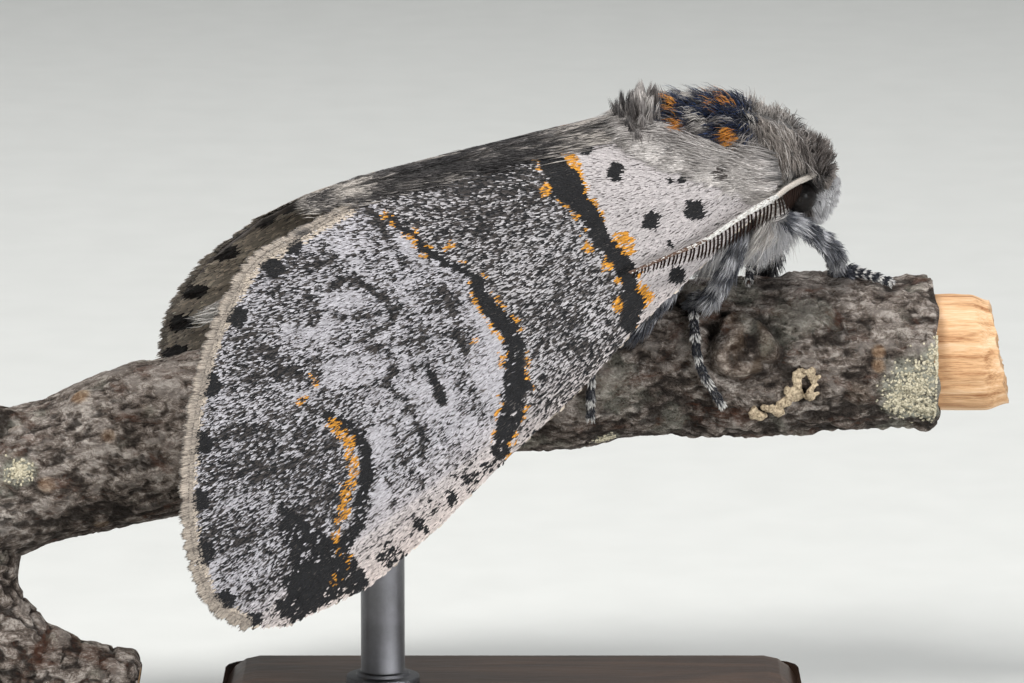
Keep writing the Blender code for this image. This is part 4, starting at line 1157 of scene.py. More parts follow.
def wing_tints(x, across, draw):
    """The colour of each scale of a forewing's upper side, from the marks of the photograph."""
    places = wing_place(x, across)
    count = len(places)
    luck = draw.uniform(0.0, 1.0, count)
    pick = scale_luck(x, across, draw)
    shade, outer, basal, near_costa = wing_shade(x, across, places)
    band_far, _, band_share = nearest_on(places, MARK_INNER_BAND)
    band_half = np.interp(band_share, np.arange(len(MARK_INNER_HALF_WIDTH)), MARK_INNER_HALF_WIDTH)
    second_far, _, second_share = nearest_on(places, MARK_SECOND_BAND)
    second_half = np.interp(second_share, np.arange(len(MARK_SECOND_HALF_WIDTH)), MARK_SECOND_HALF_WIDTH)

    depth = np.clip((shade - pick) / 0.16, -1.0, 1.0)[:, None]
    clear = (0.62 + 0.38 * np.clip(luck * 1.6, 0.0, 1.0) ** 0.7)[:, None]
    clear = np.where(basal[:, None], 0.5 + 0.5 * clear, clear)
    pale = clear * np.array(WHITE, float) + (1.0 - clear) * np.array((96, 93, 95), float)
    warm = np.clip(0.85 * near_costa + 0.30 * basal + 0.12, 0.0, 1.0)[:, None]
    pale = pale * ((1.0 - warm) + warm * np.array((1.01, 0.955, 0.905)))
    pale = pale * (1.0 + 0.10 * (outer * near_costa)[:, None])
    cool = (outer & (near_costa < 0.4))[:, None]
    pale = np.where(cool, pale * (0.99, 0.995, 1.01), pale)
    black = np.where((luck > 0.6)[:, None], SOOT, BLACK).astype(float)
    black = np.where((shade < 0.35)[:, None], 0.6 * black + 0.4 * np.array((96, 90, 88)), black)
    tints = black + (pale - black) * smooth(0.5 - 0.72 * depth)
    rim = from_edge(x, across, FORE_TERMEN) - FRINGE_DEPTH
    rim = (rim < 0.16 + 0.16 * luck) & (luck < 0.9)
    tints = np.where(rim[:, None], np.array((204, 190, 174), float) * (0.8 + 0.22 * luck)[:, None], tints)

    spots = np.zeros(count, bool)
    for mark_x, mark_y, reach in MARK_SPOTS + MARK_MARGIN_SPOTS:
        far = far_from(places, mark_x, mark_y)
        spots |= far + 4.0 * ragged(places, 6.5, 34) < reach * (0.82 + 0.22 * luck)
    for mark_x, mark_y, reach in MARK_COSTA_SPOTS:
        far = far_from(places, mark_x, mark_y)
        spots |= (far + 12.0 * ragged(places, 8.0, 46) < 1.25 * reach) & (pick < 0.78)
    core = 0.90 + 0.09 * smooth((places[:, 1] - 545.0) / 30.0)
    spots |= inside(places + 16.0 * ragged(places, 12.0, 35)[:, None], MARK_BLACK_PATCH) & (pick < core)

    edge = band_far - band_half + 6.5 * ragged(places, 10.0, 36) + 2.0 * (luck - 0.5)
    second_edge = second_far - second_half + 5.5 * ragged(places, 8.0, 37) + 2.0 * (luck - 0.5)
    second_band = (second_edge < 0.0) & (pick < 0.98)
    spots |= (nearest_on(places, MARK_DISCAL)[0] + 3.0 * ragged(places, 5.0, 32) < 4.6) & (luck < 0.93)
    crescent_far = nearest_on(places, MARK_CRESCENT)[0]
    crescent = (crescent_far + 3.5 * ragged(places, 7.0, 38) < 6.0) & (pick < 0.93)
    tail_far = nearest_on(places, MARK_CRESCENT_TAIL)[0]
    tail = (tail_far + 3.5 * ragged(places, 6.0, 43) < 4.0) & (pick < 0.9)
    night = np.array(BLACK) * (1.0 + 0.5 * (luck[:, None] > 0.85))
    tints = np.where((spots | (edge < 0.0) | second_band | crescent | tail)[:, None], night, tints)

    clump = cloud(places, 12.0, 39, 2)
    blob = np.zeros(count, bool)
    for mark_x, mark_y, reach in MARK_ORANGE_BLOBS:
        blob |= far_from(places, mark_x, mark_y) + 4.0 * ragged(places, 5.0, 45) < reach
    orange = blob & (edge > -2.0) & (edge < 9.0) & (luck < 0.86)
    orange |= (np.abs(edge - 1.2) < 2.4) & (luck < 0.5) & (clump > 0.58)
    orange |= (np.abs(second_edge - 1.0) < 2.2) & (luck < np.where(outer, 0.55, 0.4)) & (clump > 0.46)
    orange_far = nearest_on(places, MARK_CRESCENT_ORANGE)[0]
    orange |= (orange_far + 7.0 * ragged(places, 5.0, 40) < 5.0) & (luck < 0.62)
    orange |= (tail_far < 5.0) & (luck < 0.25) & (clump > 0.45)
    for bit in MARK_ORANGE_BITS:
        orange |= (far_from(places, *bit) + 3.0 * ragged(places, 4.0, 41) < 3.4) & (luck < 0.5)
    gold = np.array(ORANGE) * draw.uniform(0.80, 1.08, (count, 1))
    tints = np.where(orange[:, None], gold, tints)
    return paint(tints * draw.uniform(0.90, 1.04, (count, 1)))


def underside_tints(x, across, draw):
    """Brownish grey scales of the undersides, clouded, with dark spots along the termen."""
    places = wing_place(x, across)
    count = len(places)
    share = cloud(np.stack([x, across], -1), 1.4, 51, 3)[:, None]
    tints = (1.0 - share) * np.array((160, 148, 134)) + share * np.array((222, 210, 194))
    rim = smooth((from_edge(x, across, FORE_TERMEN) - 0.2) / 1.6)[:, None]
    tints = tints * rim + (1.0 - rim) * np.array((205, 194, 180))
    light = (draw.uniform(0, 1, count) < 0.25)[:, None]
    tints = np.where(light, tints * 1.25, tints)
    for mark_x, mark_y, reach in MARK_MARGIN_SPOTS:
        far = far_from(places, mark_x, mark_y) + 3.0 * ragged(places, 6.0, 52)
        tints = np.where((far < reach * 1.25)[:, None], np.array(SMALL_SPOT), tints)
    return paint(tints * draw.uniform(0.88, 1.08, (count, 1)))


def hindwing_tints(x, across, draw):
    """Off-white scales with grey along the veins and a dusky rim."""
    rim = 1.0 - smooth((from_edge(x, across, HIND_TERMEN) - 0.1) / 1.1)
    clouds = cloud(np.stack([x, across], -1), 1.2, 53, 3)
    share = np.clip(0.55 * rim + 0.5 * (clouds - 0.45), 0.0, 1.0)[:, None]
    tints = (1.0 - share) * np.array((200, 197, 193)) + share * np.array((104, 97, 92))
    return paint(tints * draw.uniform(0.88, 1.05, (len(x), 1)))


# Wings


def fan_places(outline, pitch_along, pitch_over, draw):
    """Staggered rows of places inside an outline, square to lines that fan out from the root."""
    outline = np.asarray(outline, float)
    centre = np.array(FAN_CENTRE)
    reach = np.linalg.norm(outline - centre, axis=1)
    angles = np.arctan2(outline[:, 1] - centre[1], centre[0] - outline[:, 0])
    rows = []
    for radius in np.arange(reach.min() - pitch_along, reach.max(), pitch_along):
        if radius <= pitch_along:
            continue
        count = int((angles.max() - angles.min()) * radius / pitch_over) + 1
        angle = angles.min() + (np.arange(count) + draw.uniform(0, 1)) * pitch_over / radius
        angle = angle + draw.uniform(-0.35, 0.35, count) * pitch_over / radius
        spread = radius + draw.uniform(-0.45, 0.45, count) * pitch_along
        rows.append(np.stack([centre[0] - spread * np.cos(angle), centre[1] + spread * np.sin(angle)], -1))
    places = np.concatenate(rows)
    return places[inside(places, outline)]


def drawn_in(line, depth):
    """A wing's edge moved towards the root."""
    line = np.asarray(line, float)
    return line - depth * unit(line - FAN_CENTRE)


def closed_outline(dorsum, costa, termen):
    """The outline of a wing as one ring of points, root to apex and back."""
    share = np.linspace(0.0, 1.0, 60)
    return np.concatenate(
        [polyline_at(dorsum, share), polyline_at(termen, share)[1:], polyline_at(costa, share)[::-1][1:]]
    )


def termen_line(side):
    """The forewing's outer edge, which sags a little on the far wing."""
    return curve_at(FORE_TERMEN if side < 0 else FAR_TERMEN, np.linspace(0.0, 1.0, 46))


def fringeless(side):
    """The forewing's three edges without the fringe."""
    termen = drawn_in(termen_line(side), FRINGE_DEPTH)
    dorsum = np.concatenate([FORE_DORSUM[:-1], termen[:1]])
    costa = np.concatenate([FORE_COSTA[:-1], termen[-1:]])
    return dorsum, costa, termen


def sheet_normal(across, side):
    """Outward normal of the roof in world directions."""
    slope = np.interp(across, ROOF[0], ROOF[3])
    flat = np.stack([np.zeros_like(slope), side * np.sin(slope), np.cos(slope)], axis=-1)
    return flat @ BODY_AXES


def scale_layer(name, outline, side, under, tints, finish, slot, draw, pitch, size, inset, relief):
    """A layer of scales on one face of a wing, tips towards the termen."""
    places = fan_places(outline, pitch[0], pitch[1], draw)
    x, across = places.T
    height = (relief(x, across) if relief else 0.0) - inset
    lift = height - SHEET - SCALE_LIFT if under else height + SCALE_LIFT
    back, over = unit(places - FAN_CENTRE).T
    turn = draw.normal(0.0, 0.14, len(x))
    cosine, sine = np.cos(turn), np.sin(turn)
    step = 0.05
    roots = on_roof(x, across, side, lift)
    tips = on_roof(
        x + step * (back * cosine - over * sine), across + step * (back * sine + over * cosine), side, lift
    )
    along = unit(tips - roots)
    normals = sheet_normal(across, side) * (-1.0 if under else 1.0)
    normals = unit(normals + 0.10 * draw.normal(0.0, 1.0, normals.shape))
    length = size[0] * draw.uniform(0.8, 1.2, len(x))
    width = size[1] * draw.uniform(0.8, 1.2, len(x))
    low = np.min(outline, axis=0)
    span = np.max(outline, axis=0) - low
    colours = tints(x, across, draw)
    return plates(name, roots, along, normals, length, width, colours, (places - low) / span, finish, slot)


def membrane(name, outlines, side, rows, columns, inset, finish, slot, replaces, relief):
    """A wing's thin closed sheet, with its veins raised on the upper face."""
    grid = outline_patch(*outlines, rows, columns)
    x = grid[..., 0]
    across = grid[..., 1]
    height = (relief(x, across) if relief else 0.0) - inset
    over = np.linspace(-1.0, 1.0, columns)[None, :]
    along = np.linspace(0.0, 1.0, rows)[:, None]
    thin = SHEET * (0.25 + 0.75 * smooth((1.0 - np.abs(over)) / 0.06) * smooth((1.0 - along) / 0.04))
    top = on_roof(x, across, side, height)
    bottom = on_roof(x, across, side, height - thin)
    points = np.concatenate([top.reshape(-1, 3), bottom.reshape(-1, 3)])
    half = rows * columns
    corner = (np.arange(rows - 1)[:, None] * columns + np.arange(columns - 1)[None, :]).ravel()
    upper = np.stack([corner, corner + columns, corner + columns + 1, corner + 1], -1)
    lower = upper[:, ::-1] + half
    rim = list(range(columns))
    rim += [row * columns + columns - 1 for row in range(1, rows)]
    rim += [(rows - 1) * columns + column for column in range(columns - 2, -1, -1)]
    rim += [row * columns for row in range(rows - 2, 0, -1)]
    rim = np.array(rim)
    after = np.roll(rim, -1)
    wall = np.stack([rim, after, after + half, rim + half], -1)
    faces = np.concatenate([upper, lower, wall])
    if side > 0:
        faces = faces[:, ::-1]
    return piece(name, points, faces, finish, slot, replaces)


def fringe(name, side, finish, draw):
    """Hair-scales along the termen in short ragged teeth, with dark roots at the black spots."""
    count = FRINGE_HAIRS[side]
    termen = termen_line(side)
    share = np.sort(draw.uniform(0.0, 1.0, count))
    edge = polyline_at(termen, share)
    behind, ahead = (polyline_at(termen, np.clip(share + step, 0, 1)) for step in (-0.01, 0.01))
    along_edge = unit(ahead - behind)
    outward = np.stack([-along_edge[:, 1], along_edge[:, 0]], -1)
    outward = outward * np.sign(np.einsum("ij,ij->i", outward, edge - FAN_CENTRE))[:, None]
    away = unit(0.5 * outward + 0.5 * unit(edge - FAN_CENTRE))
    place = share * 34.0 + 0.6 * np.sin(share * 31.0)
    tooth = 2.0 * np.abs((place % 1.0) - 0.5)
    layer = draw.integers(0, 3, count)
    root_in = FRINGE_DEPTH + 0.10 - 0.13 * layer + draw.uniform(0.0, 0.10, count)
    reach = draw.uniform(-0.14, 0.05, count) - 0.15 * tooth**2
    length = (root_in + reach) * (0.55 + 0.225 * layer)
    start = edge - root_in[:, None] * away
    lift = wing_relief(start[:, 0], start[:, 1]) + 0.03 + 0.02 * layer
    lean = -0.10 * ((place % 1.0) - 0.5) + 0.10 * draw.normal(0.0, 1.0, count)
    paths = []
    for step in (0.0, 0.6, 1.0):
        spot = start + step * length[:, None] * (away + lean[:, None] * step * along_edge)
        droop = -0.12 * step * step * length
        paths.append(on_roof(spot[:, 0], spot[:, 1], side, lift + droop))
    paths = np.stack(paths, axis=1)
    widths = 0.050 * draw.uniform(0.7, 1.3, (count, 1)) * np.array([[0.8, 1.0, 0.35]])
    cream = np.array(FRINGE_CREAM) * draw.uniform(0.72, 1.04, (count, 1))
    cream = cream * (0.90 + 0.16 * cloud(np.stack([share * 90.0, layer * 3.0], -1), 0.8, 47, 2)[:, None])
    grey = draw.uniform(0, 1, count) < 0.10 + 0.30 * (tooth > 0.8)
    cream = np.where(grey[:, None], np.array(FRINGE_GREY) * draw.uniform(0.7, 1.1, (count, 1)), cream)
    places = wing_place(edge[:, 0], edge[:, 1])
    spotted = np.zeros(count)
    for mark_x, mark_y, reach in MARK_MARGIN_SPOTS:
        far = far_from(places, mark_x, mark_y)
        spotted = np.maximum(spotted, 1.0 - smooth((far - reach * 1.55) / 5.0))
    tints = []
    # Painted shade: each fringe hair is darker at its root; the black at spotted roots is the wing's own
    # mark.
    for step, dark in ((0.0, 1.0), (0.6, 0.30), (1.0, 0.0)):
        share_dark = (dark * spotted)[:, None]
        tints.append(cream * (1.0 - share_dark) * (0.86 + 0.14 * step) + share_dark * np.array(BLACK))
    tints = paint(np.stack(tints, axis=1))
    roots = np.stack([share, 0.5 + 0.2 * (layer - 1)], -1)
    facing = sheet_normal(edge[:, 1], side)
    return coat(name, paths, widths, facing, tints, roots, finish, "forewing_scales", 0.35)


def ridge_hair(name, side, finish, draw):
    """Long streaky hair along the inner margins, where the wings meet over the back."""
    count = RIDGE_HAIRS[side]
    x = -1.6 - 11.6 * draw.uniform(0.0, 1.0, count) ** 0.9
    band = np.abs(draw.normal(0.0, 0.30, count))
    across = np.clip(band - 0.12, -0.2, 0.9)
    length = (0.55 + 0.55 * smooth((x + 12.5) / 3.0)) * draw.uniform(0.5, 1.25, count)
    sway = draw.normal(0.0, 0.10, count) - 0.10
    height = wing_relief(x, np.maximum(across, 0.0)) + 0.02
    rise = 0.06 * draw.uniform(0.0, 1.0, count) ** 2 + 0.02
    paths = []
    for step in (0.0, 0.5, 1.0):
        lift = height + rise * math.sin(2.4 * step) + 0.05 * step
        paths.append(on_roof(x - step * length, across + sway * step * length, side, lift))
    paths = np.stack(paths, axis=1)
    widths = 0.038 * draw.uniform(0.6, 1.3, (count, 1)) * np.array([[0.8, 1.0, 0.3]])
    blotch = cloud(np.stack([x * 0.8, across * 1.6], -1), 0.9, 61, 2)
    pick = draw.uniform(0.0, 1.0, count) * 0.42 + blotch * 0.75 - 0.12
    pick = pick - 0.20 * np.exp(-(((x + 7.4) / 1.5) ** 2)) + 0.10 * np.exp(-(((x + 11.2) / 1.6) ** 2))
    low, high = np.array((42, 39, 40), float), np.array((196, 189, 182), float)
    colours = low + (high - low) * smooth((pick - 0.22) / 0.52)[:, None]
    # Painted shade: each hair is darker at its root.
    root_shade = np.array([0.7, 1.0, 1.05])[None, :, None]
    tints = paint(colours[:, None, :] * root_shade * draw.uniform(0.9, 1.05, (count, 1, 1)))
    roots = np.stack([(x + 14.0) / 13.0, 0.3 + across * 0.4], -1)
    facing = sheet_normal(np.maximum(across, 0.0), side)
    return coat(name, paths, widths, facing, tints, roots, finish, "forewing_scales", 0.5)


def build_wings(scales, hair, draw):
    hind = (HIND_DORSUM, HIND_COSTA, HIND_TERMEN)
    fore_sheet = membrane_finish("forewing sheet", (74, 68, 66), (138, 132, 128))
    hind_sheet = membrane_finish("hindwing sheet", (150, 146, 142), (196, 192, 188))
    for side, hand in ((-1, "right"), (1, "left")):
        fore = fringeless(side)
        for wing, edges, grid, inset, sheet, relief in (
            ("forewing", fore, FORE_GRID, 0.0, fore_sheet, wing_relief),
            ("hindwing", hind, HIND_GRID, HIND_INSET, hind_sheet, None),
        ):
            name = f"{wing}_{hand}"
            membrane(f"{name}_sheet", edges, side, *grid, inset, sheet, f"{wing}_scales", (name,), relief)
        grain = 1.0 if side < 0 else FAR_WING_COARSENESS
        upper = [(along * grain, over * grain) for along, over in FORE_SCALES]
        for wing, edges, under, tints, (pitch, size), inset, relief in (
            ("forewing", fore, False, wing_tints, upper, 0.0, wing_relief),
            ("forewing", fore, True, underside_tints, FORE_UNDER_SCALES, 0.0, wing_relief),
            ("hindwing", hind, False, hindwing_tints, HIND_SCALES, HIND_INSET, None),
            ("hindwing", hind, True, hindwing_tints, HIND_SCALES, HIND_INSET, None),
        ):
            name = f"{wing}_{hand}_under_scales" if under else f"{wing}_{hand}_scales"
            scale_layer(
                name, closed_outline(*edges), side, under, tints, scales, f"{wing}_scales", draw,
                pitch, size, inset, relief,
            )
        fringe(f"forewing_{hand}_fringe", side, hair, draw)
        ridge_hair(f"forewing_{hand}_ridge_hair", side, hair, draw)


# Twig


def twig_rise(u):
    return sum(factor * u**power for power, factor in enumerate(TWIG_RISE))


def twig_frame(u):
    """Axis points and normals in layout coordinates."""
    u = np.asarray(u, float)
    slope = sum(power * factor * u ** (power - 1) for power, factor in enumerate(TWIG_RISE) if power)
    along = unit(np.stack([np.ones_like(u), slope, np.zeros_like(u)], -1))
    centre = np.stack([u, twig_rise(u), np.full_like(u, TWIG_DEPTH)], -1)
    return centre, np.stack([-along[..., 1], along[..., 0], np.zeros_like(u)], -1)


def twig_spot(pixel_x, pixel_y):
    """Place along the twig and turn round it, in degrees, of a point on its near side."""
    u = (pixel_x - PHOTO_WIDTH / 2) / PIXELS_PER_MM
    height = (PHOTO_HEIGHT / 2 - pixel_y) / PIXELS_PER_MM - twig_rise(u)
    return u, math.degrees(math.acos(np.clip(height / TWIG_RADIUS, -1.0, 1.0)))


def around_twig(u, turn, radius):
    """World points at a radius from the twig's axis, the turn in radians from the top."""
    centre, normal = twig_frame(u)
    near = np.array([0.0, 0.0, 1.0])
    spoke = np.cos(turn)[..., None] * normal + np.sin(turn)[..., None] * near
    return layout(centre + np.asarray(radius)[..., None] * spoke)


def twig_distance(u, turn, spot):
    """Distance over the bark from a place given along the twig and as a turn in degrees."""
    along = u - spot[0]
    over = TWIG_RADIUS * ((turn - math.radians(spot[1]) + math.pi) % (2 * math.pi) - math.pi)
    return np.hypot(along, over), along, over


def bark_fields(u, turn):
    """Height of the bark over the plain twig, and its crack, lichen and scar values; the crack value, the
    relief, also holds painted shade on the twig's underside.
    """
    ring = TWIG_RADIUS * np.stack([np.cos(turn), np.sin(turn)], -1)
    spots = np.concatenate([u[..., None], ring], axis=-1)
    lumps = cloud(spots, 2.1, 71, 2) - 0.5
    knobs = cloud(spots, 0.75, 72, 3) - 0.5
    warp = 0.7 * np.stack([cloud(spots, 1.1, seed, 2) for seed in (73, 74, 75)], -1)
    stretched = (spots + warp) * np.array([0.36, 1.0, 1.0])
    ridge = 1.0 - np.abs(2.0 * cloud(stretched, 0.30, 76, 2) - 1.0)
    crack = smooth((ridge - 0.86) / 0.12) * smooth((cloud(spots, 1.4, 106, 2) - 0.34) / 0.2)
    cross = 1.0 - np.abs(2.0 * cloud((spots + warp) * np.array([1.0, 0.6, 0.6]), 0.5, 77, 2) - 1.0)
    crack = np.maximum(crack, 0.6 * smooth((cross - 0.90) / 0.09))
    grain = cloud(spots * np.array([0.6, 1.0, 1.0]), 0.26, 107, 2) - 0.5
    rough = smooth((u - 3.0) / 4.0)
    height = 0.26 * lumps + (0.16 + 0.26 * rough) * knobs + (0.10 + 0.14 * rough) * grain - 0.07 * crack
    scar = np.zeros_like(u)
    for (pixel_x, pixel_y), reach, rise, colour in MARK_BUMPS:
        far = twig_distance(u, turn, twig_spot(pixel_x, pixel_y))[0]
        dome = np.exp(-((far / reach) ** 2))
        height = height + rise * dome * (1.0 - 0.5 * np.exp(-((far / (0.4 * reach)) ** 2)))
        scar = np.maximum(scar, colour * smooth((dome - 0.25) / 0.4))
    far, along, over = twig_distance(u, turn, (KNOT_AT, KNOT_TURN))
    angle = np.arctan2(over, along)
    reach = 1.12 + 0.10 * np.sin(3 * angle + 0.6) + 0.08 * (cloud(spots, 0.5, 78, 2) - 0.5)
    plateau = 1.0 - smooth((far - reach + 0.25) / 0.40)
    folds = np.sin(9.0 * far + 2.2 * np.sin(angle * 2.0) + 5.0 * cloud(spots, 0.7, 79, 2))
    crown = 0.40 + 0.07 * folds - 0.20 * np.exp(-((far / 0.3) ** 2))
    height = height * (1.0 - 0.6 * plateau) + plateau * crown
    collar = np.exp(-(((far - reach - 0.10) / 0.13) ** 2))
    height = height - 0.22 * collar
    crack = crack * (1.0 - 0.6 * plateau) + 0.9 * collar + 0.7 * plateau * smooth((-folds - 0.1) / 0.6)
    crack = np.clip(crack, 0.0, 1.0)
    lichen = np.zeros_like(u)
    for pixel_x, pixel_y, size in MARK_LICHEN:
        far = twig_distance(u, turn, twig_spot(pixel_x, pixel_y))[0]
        far = far + 0.5 * (cloud(spots, 0.4, 80, 2) - 0.5)
        lichen = np.maximum(lichen, 1.0 - smooth((far - 0.6 * size) / (0.5 * size)))
    film = smooth((cloud(spots, 1.3, 81, 3) - 0.60) / 0.12) * 0.35
    # The relief feeds the bark colour: cracks and low places darker, partly as painted shade, raised places
    # lighter, partly as a painted highlight.
    relief = np.clip(0.58 + 0.9 * knobs + 1.5 * grain + 0.4 * lumps - 0.55 * crack, 0.0, 1.0)
    # Painted shade: the relief, and so the bark colour, is darker on the twig's underside.
    relief = np.clip(relief - 0.26 * smooth((-np.cos(turn) - 0.45) / 0.4), 0.0, 1.0)
    scar = np.maximum(scar, 0.20 * plateau * smooth((cloud(spots, 0.5, 108, 3) - 0.4) / 0.2))
    return height, relief, np.maximum(lichen, film), scar


def twig_radius(u, turn):
    """Radius of the plain twig: slow swellings and a smaller left end."""
    radius = TWIG_RADIUS + 0.06 * np.sin(0.9 * u + 0.6) + 0.05 * np.cos(2 * turn + 0.7 * u)
    return radius - 0.25 * smooth((-u - 12.0) / 6.0)


def wrap_grid(along, sides):
    """A grid of places along a round form and turns round it."""
    return np.meshgrid(along, np.linspace(0.0, 2 * math.pi, sides, endpoint=False), indexing="ij")


def build_twig(bark, wood, ends):
    rows, sides = TWIG_GRID
    u, turn = wrap_grid(np.linspace(TWIG_LEFT, TWIG_RIGHT, rows), sides)
    edge = cloud(np.stack([np.cos(turn), np.sin(turn)], -1), 0.5, 82, 2) - 0.5
    u = u + smooth((u - TWIG_RIGHT + 1.0) / 1.0) * (0.5 * edge - 0.12 * np.cos(turn) - 0.1)
    height, relief, lichen, scar = bark_fields(u, turn)
    close = smooth((u - TWIG_RIGHT + 0.35) / 0.35)
    radius = twig_radius(u, turn) + height - 0.20 * close**3
    mesh = ring_mesh(around_twig(u, turn, radius), False)
    fields = {"relief": relief, "lichen": lichen, "scar": scar}
    piece("twig_bark", *mesh, bark, "bark", ("twig",), extra=fields)
    for label, row, inwards in (("right", -1, -0.10), ("left", 0, 0.05)):
        share = np.concatenate([np.linspace(1.0, 0.86, 4), np.linspace(0.8, 0.05, 12)])
        end_rings = []
        for index, part in enumerate(share):
            drop = inwards * smooth(min(index / 3.0, 1.0))
            end_rings.append(around_twig(u[row] + drop + 0.02 * edge[row], turn[row], radius[row] * part))
        mesh = ring_mesh(np.array(end_rings), False)
        piece(f"twig_{label}_end", *mesh, ends, "cut_wood", extra={"ring": np.repeat(share, sides)})
    build_wood_stub(wood)
    build_fork(bark, ends)


def build_wood_stub(wood):
    """The bare wood that sticks out of the bark, split along its fibres at the broken end."""
    rows, sides = WOOD_GRID
    share, turn = wrap_grid(np.linspace(0.0, 1.0, rows), sides)
    circle = np.stack([np.cos(turn), np.sin(turn)], -1)
    splinter = cloud(circle, 0.22, 83, 3) - 0.5
    length = WOOD_LENGTH + 0.5 + 0.30 * splinter - 0.35 * np.cos(turn - 0.3)
    u = TWIG_RIGHT - 0.5 + share * length
    fibre = cloud(np.concatenate([circle, share[..., None] * 0.15], -1), 0.10, 84, 2) - 0.5
    radius = WOOD_RADIUS * (1.0 + 0.05 * np.cos(2 * turn + 0.5)) + 0.13 * fibre
    radius = radius - 0.28 * smooth((share - 0.72) / 0.28) * (0.7 + 0.8 * splinter)
    rings = [around_twig(u, turn, radius)]
    end_u = u[-1]
    for part in np.linspace(0.93, 0.03, 16):
        rough = 0.18 * (cloud(circle[-1] * part, 0.12, 85, 3) - 0.5)
        flat = end_u * part + (1.0 - part) * end_u.mean()
        rings.append(around_twig(flat + rough, turn[-1], radius[-1] * part)[None])
    piece("twig_bare_wood", *ring_mesh(np.concatenate(rings)), wood, "cut_wood", ("twig_wood",))


def build_fork(bark, ends):
    """The side branch that leaves the twig's underside and turns forward."""
    rows, sides = FORK_GRID
    share = np.linspace(0.0, 1.0, rows)
    path = layout(curve_at([(u, v, TWIG_DEPTH) for u, v in FORK_PATH], share))
    radii = curve_at([(r,) for r in FORK_RADII], share)[:, 0]
    radii = radii * (1.0 - 0.30 * smooth((share - 0.965) / 0.035))
    tangents = unit(np.gradient(path, axis=0))
    turn = np.linspace(0.0, 2 * math.pi, sides, endpoint=False)
    normal = np.cross(tangents, SIGHT)
    spoke = np.cos(turn)[None, :, None] * normal[:, None, :] + np.sin(turn)[None, :, None] * SIGHT
    spots = path[:, None, :] + radii[:, None, None] * spoke
    knobs = cloud(spots, 0.8, 86, 3) - 0.5
    lumps = cloud(spots, 2.0, 87, 2) - 0.5
    ridge = 1.0 - np.abs(2.0 * cloud(spots, 0.55, 88, 2) - 1.0)
    crack = smooth((ridge - 0.8) / 0.17)
    height = 0.32 * lumps + 0.26 * knobs - 0.12 * crack
    rings = spots + height[..., None] * spoke
    # The relief darkens cracks and lightens knobs in the bark colour: partly their own colour, partly
    # painted shade and painted highlight.
    relief = np.clip(0.6 + 1.1 * knobs - 0.9 * crack, 0.0, 1.0)
    film = smooth((cloud(spots, 1.1, 89, 3) - 0.6) / 0.12) * 0.3
    fields = {"relief": relief, "lichen": film, "scar": np.zeros(rows * sides)}
    piece("twig_fork_bark", *ring_mesh(rings, False), bark, "bark", ("twig_fork",), extra=fields)
    parts = np.concatenate([[1.0, 0.93, 0.86], np.linspace(0.8, 0.05, 10)])
    centre = rings[-1].mean(axis=0)
    sunk = 0.05 * tangents[-1]
    end_rings = [centre + part * (rings[-1] - centre) - (part < 0.9) * sunk for part in parts]
    mesh = ring_mesh(np.array(end_rings), False)
    piece("twig_fork_end", *mesh, ends, "cut_wood", extra={"ring": np.repeat(parts, sides)})


# Body coat


def skin_parts():
    """Closed forms that the skin is fused from, inside the solids by the coat's depth."""
    parts = []
    for stations, rings, depth in (
        (THORAX, 40, COAT_DEPTH),
        (HEAD, 30, HEAD_DEPTH),
        (ABDOMEN, 60, ABDOMEN_DEPTH),
    ):
        t, angle = wrap_grid(np.linspace(0, 1, rings), 40)
        parts.append(ring_mesh(body(station_points(stations, t, angle, -depth))))
    parts.append(tube(body(((2.9, 0, -0.6), (1.8, 0, -0.5), (0.6, 0, -0.2))), (0.8, 1.0, 1.2), 20))
    parts.append(tube(body(((-1.6, 0, -0.1), (-2.6, 0, -0.15), (-3.6, 0, -0.2))), (1.2, 1.25, 1.2), 20))
    for name in LEGS:
        path, foot_share = leg_path(name)
        parts.append(tube(path, leg_radii(path, foot_share), 12))
    return parts


def leg_path(name):
    """World points down a leg, and the share of them at which its foot begins."""
    joints, foot = LEGS[name]
    keys = [body(joint) for joint in joints]
    for u, turn in foot:
        radians = np.array(math.radians(turn))
        above = twig_radius(np.array(u), radians) + FOOT_RADIUS + FOOT_DROP
        keys.append(around_twig(np.array(u), radians, above))
    return curve_at(keys, np.linspace(0.0, 1.0, LEG_STEPS)), len(joints) / (len(keys) - 1)


def leg_radii(path, foot_share):
    """Radius of a leg's skin: thick above, slim and five-jointed at the foot."""
    share = np.linspace(0.0, 1.0, len(path))
    slim = smooth((share - foot_share * 0.7) / (foot_share * 0.3))
    thick = LEG_SKIN_RADIUS + (FOOT_SKIN_RADIUS - LEG_SKIN_RADIUS) * slim
    foot = np.clip((share - foot_share) / (1.0 - foot_share), 0.0, 1.0)
    joints = 0.022 * (np.abs(np.sin(foot * math.pi * 5.0)) - 0.5) * (foot > 0)
    return thick + joints - 0.03 * foot


def fuse(obj, voxel, rounds):
    """Fuses overlapping closed forms into one and smooths it."""
    bpy.context.view_layer.objects.active = obj
    remesh = obj.modifiers.new("fuse", "REMESH")
    remesh.mode = "VOXEL"
    remesh.voxel_size = voxel * MM
    bpy.ops.object.modifier_apply(modifier=remesh.name)
    soften = obj.modifiers.new("soften", "SMOOTH")
    soften.factor = 0.5
    soften.iterations = rounds
    bpy.ops.object.modifier_apply(modifier=soften.name)
    obj.data.polygons.foreach_set("use_smooth", np.ones(len(obj.data.polygons), bool))


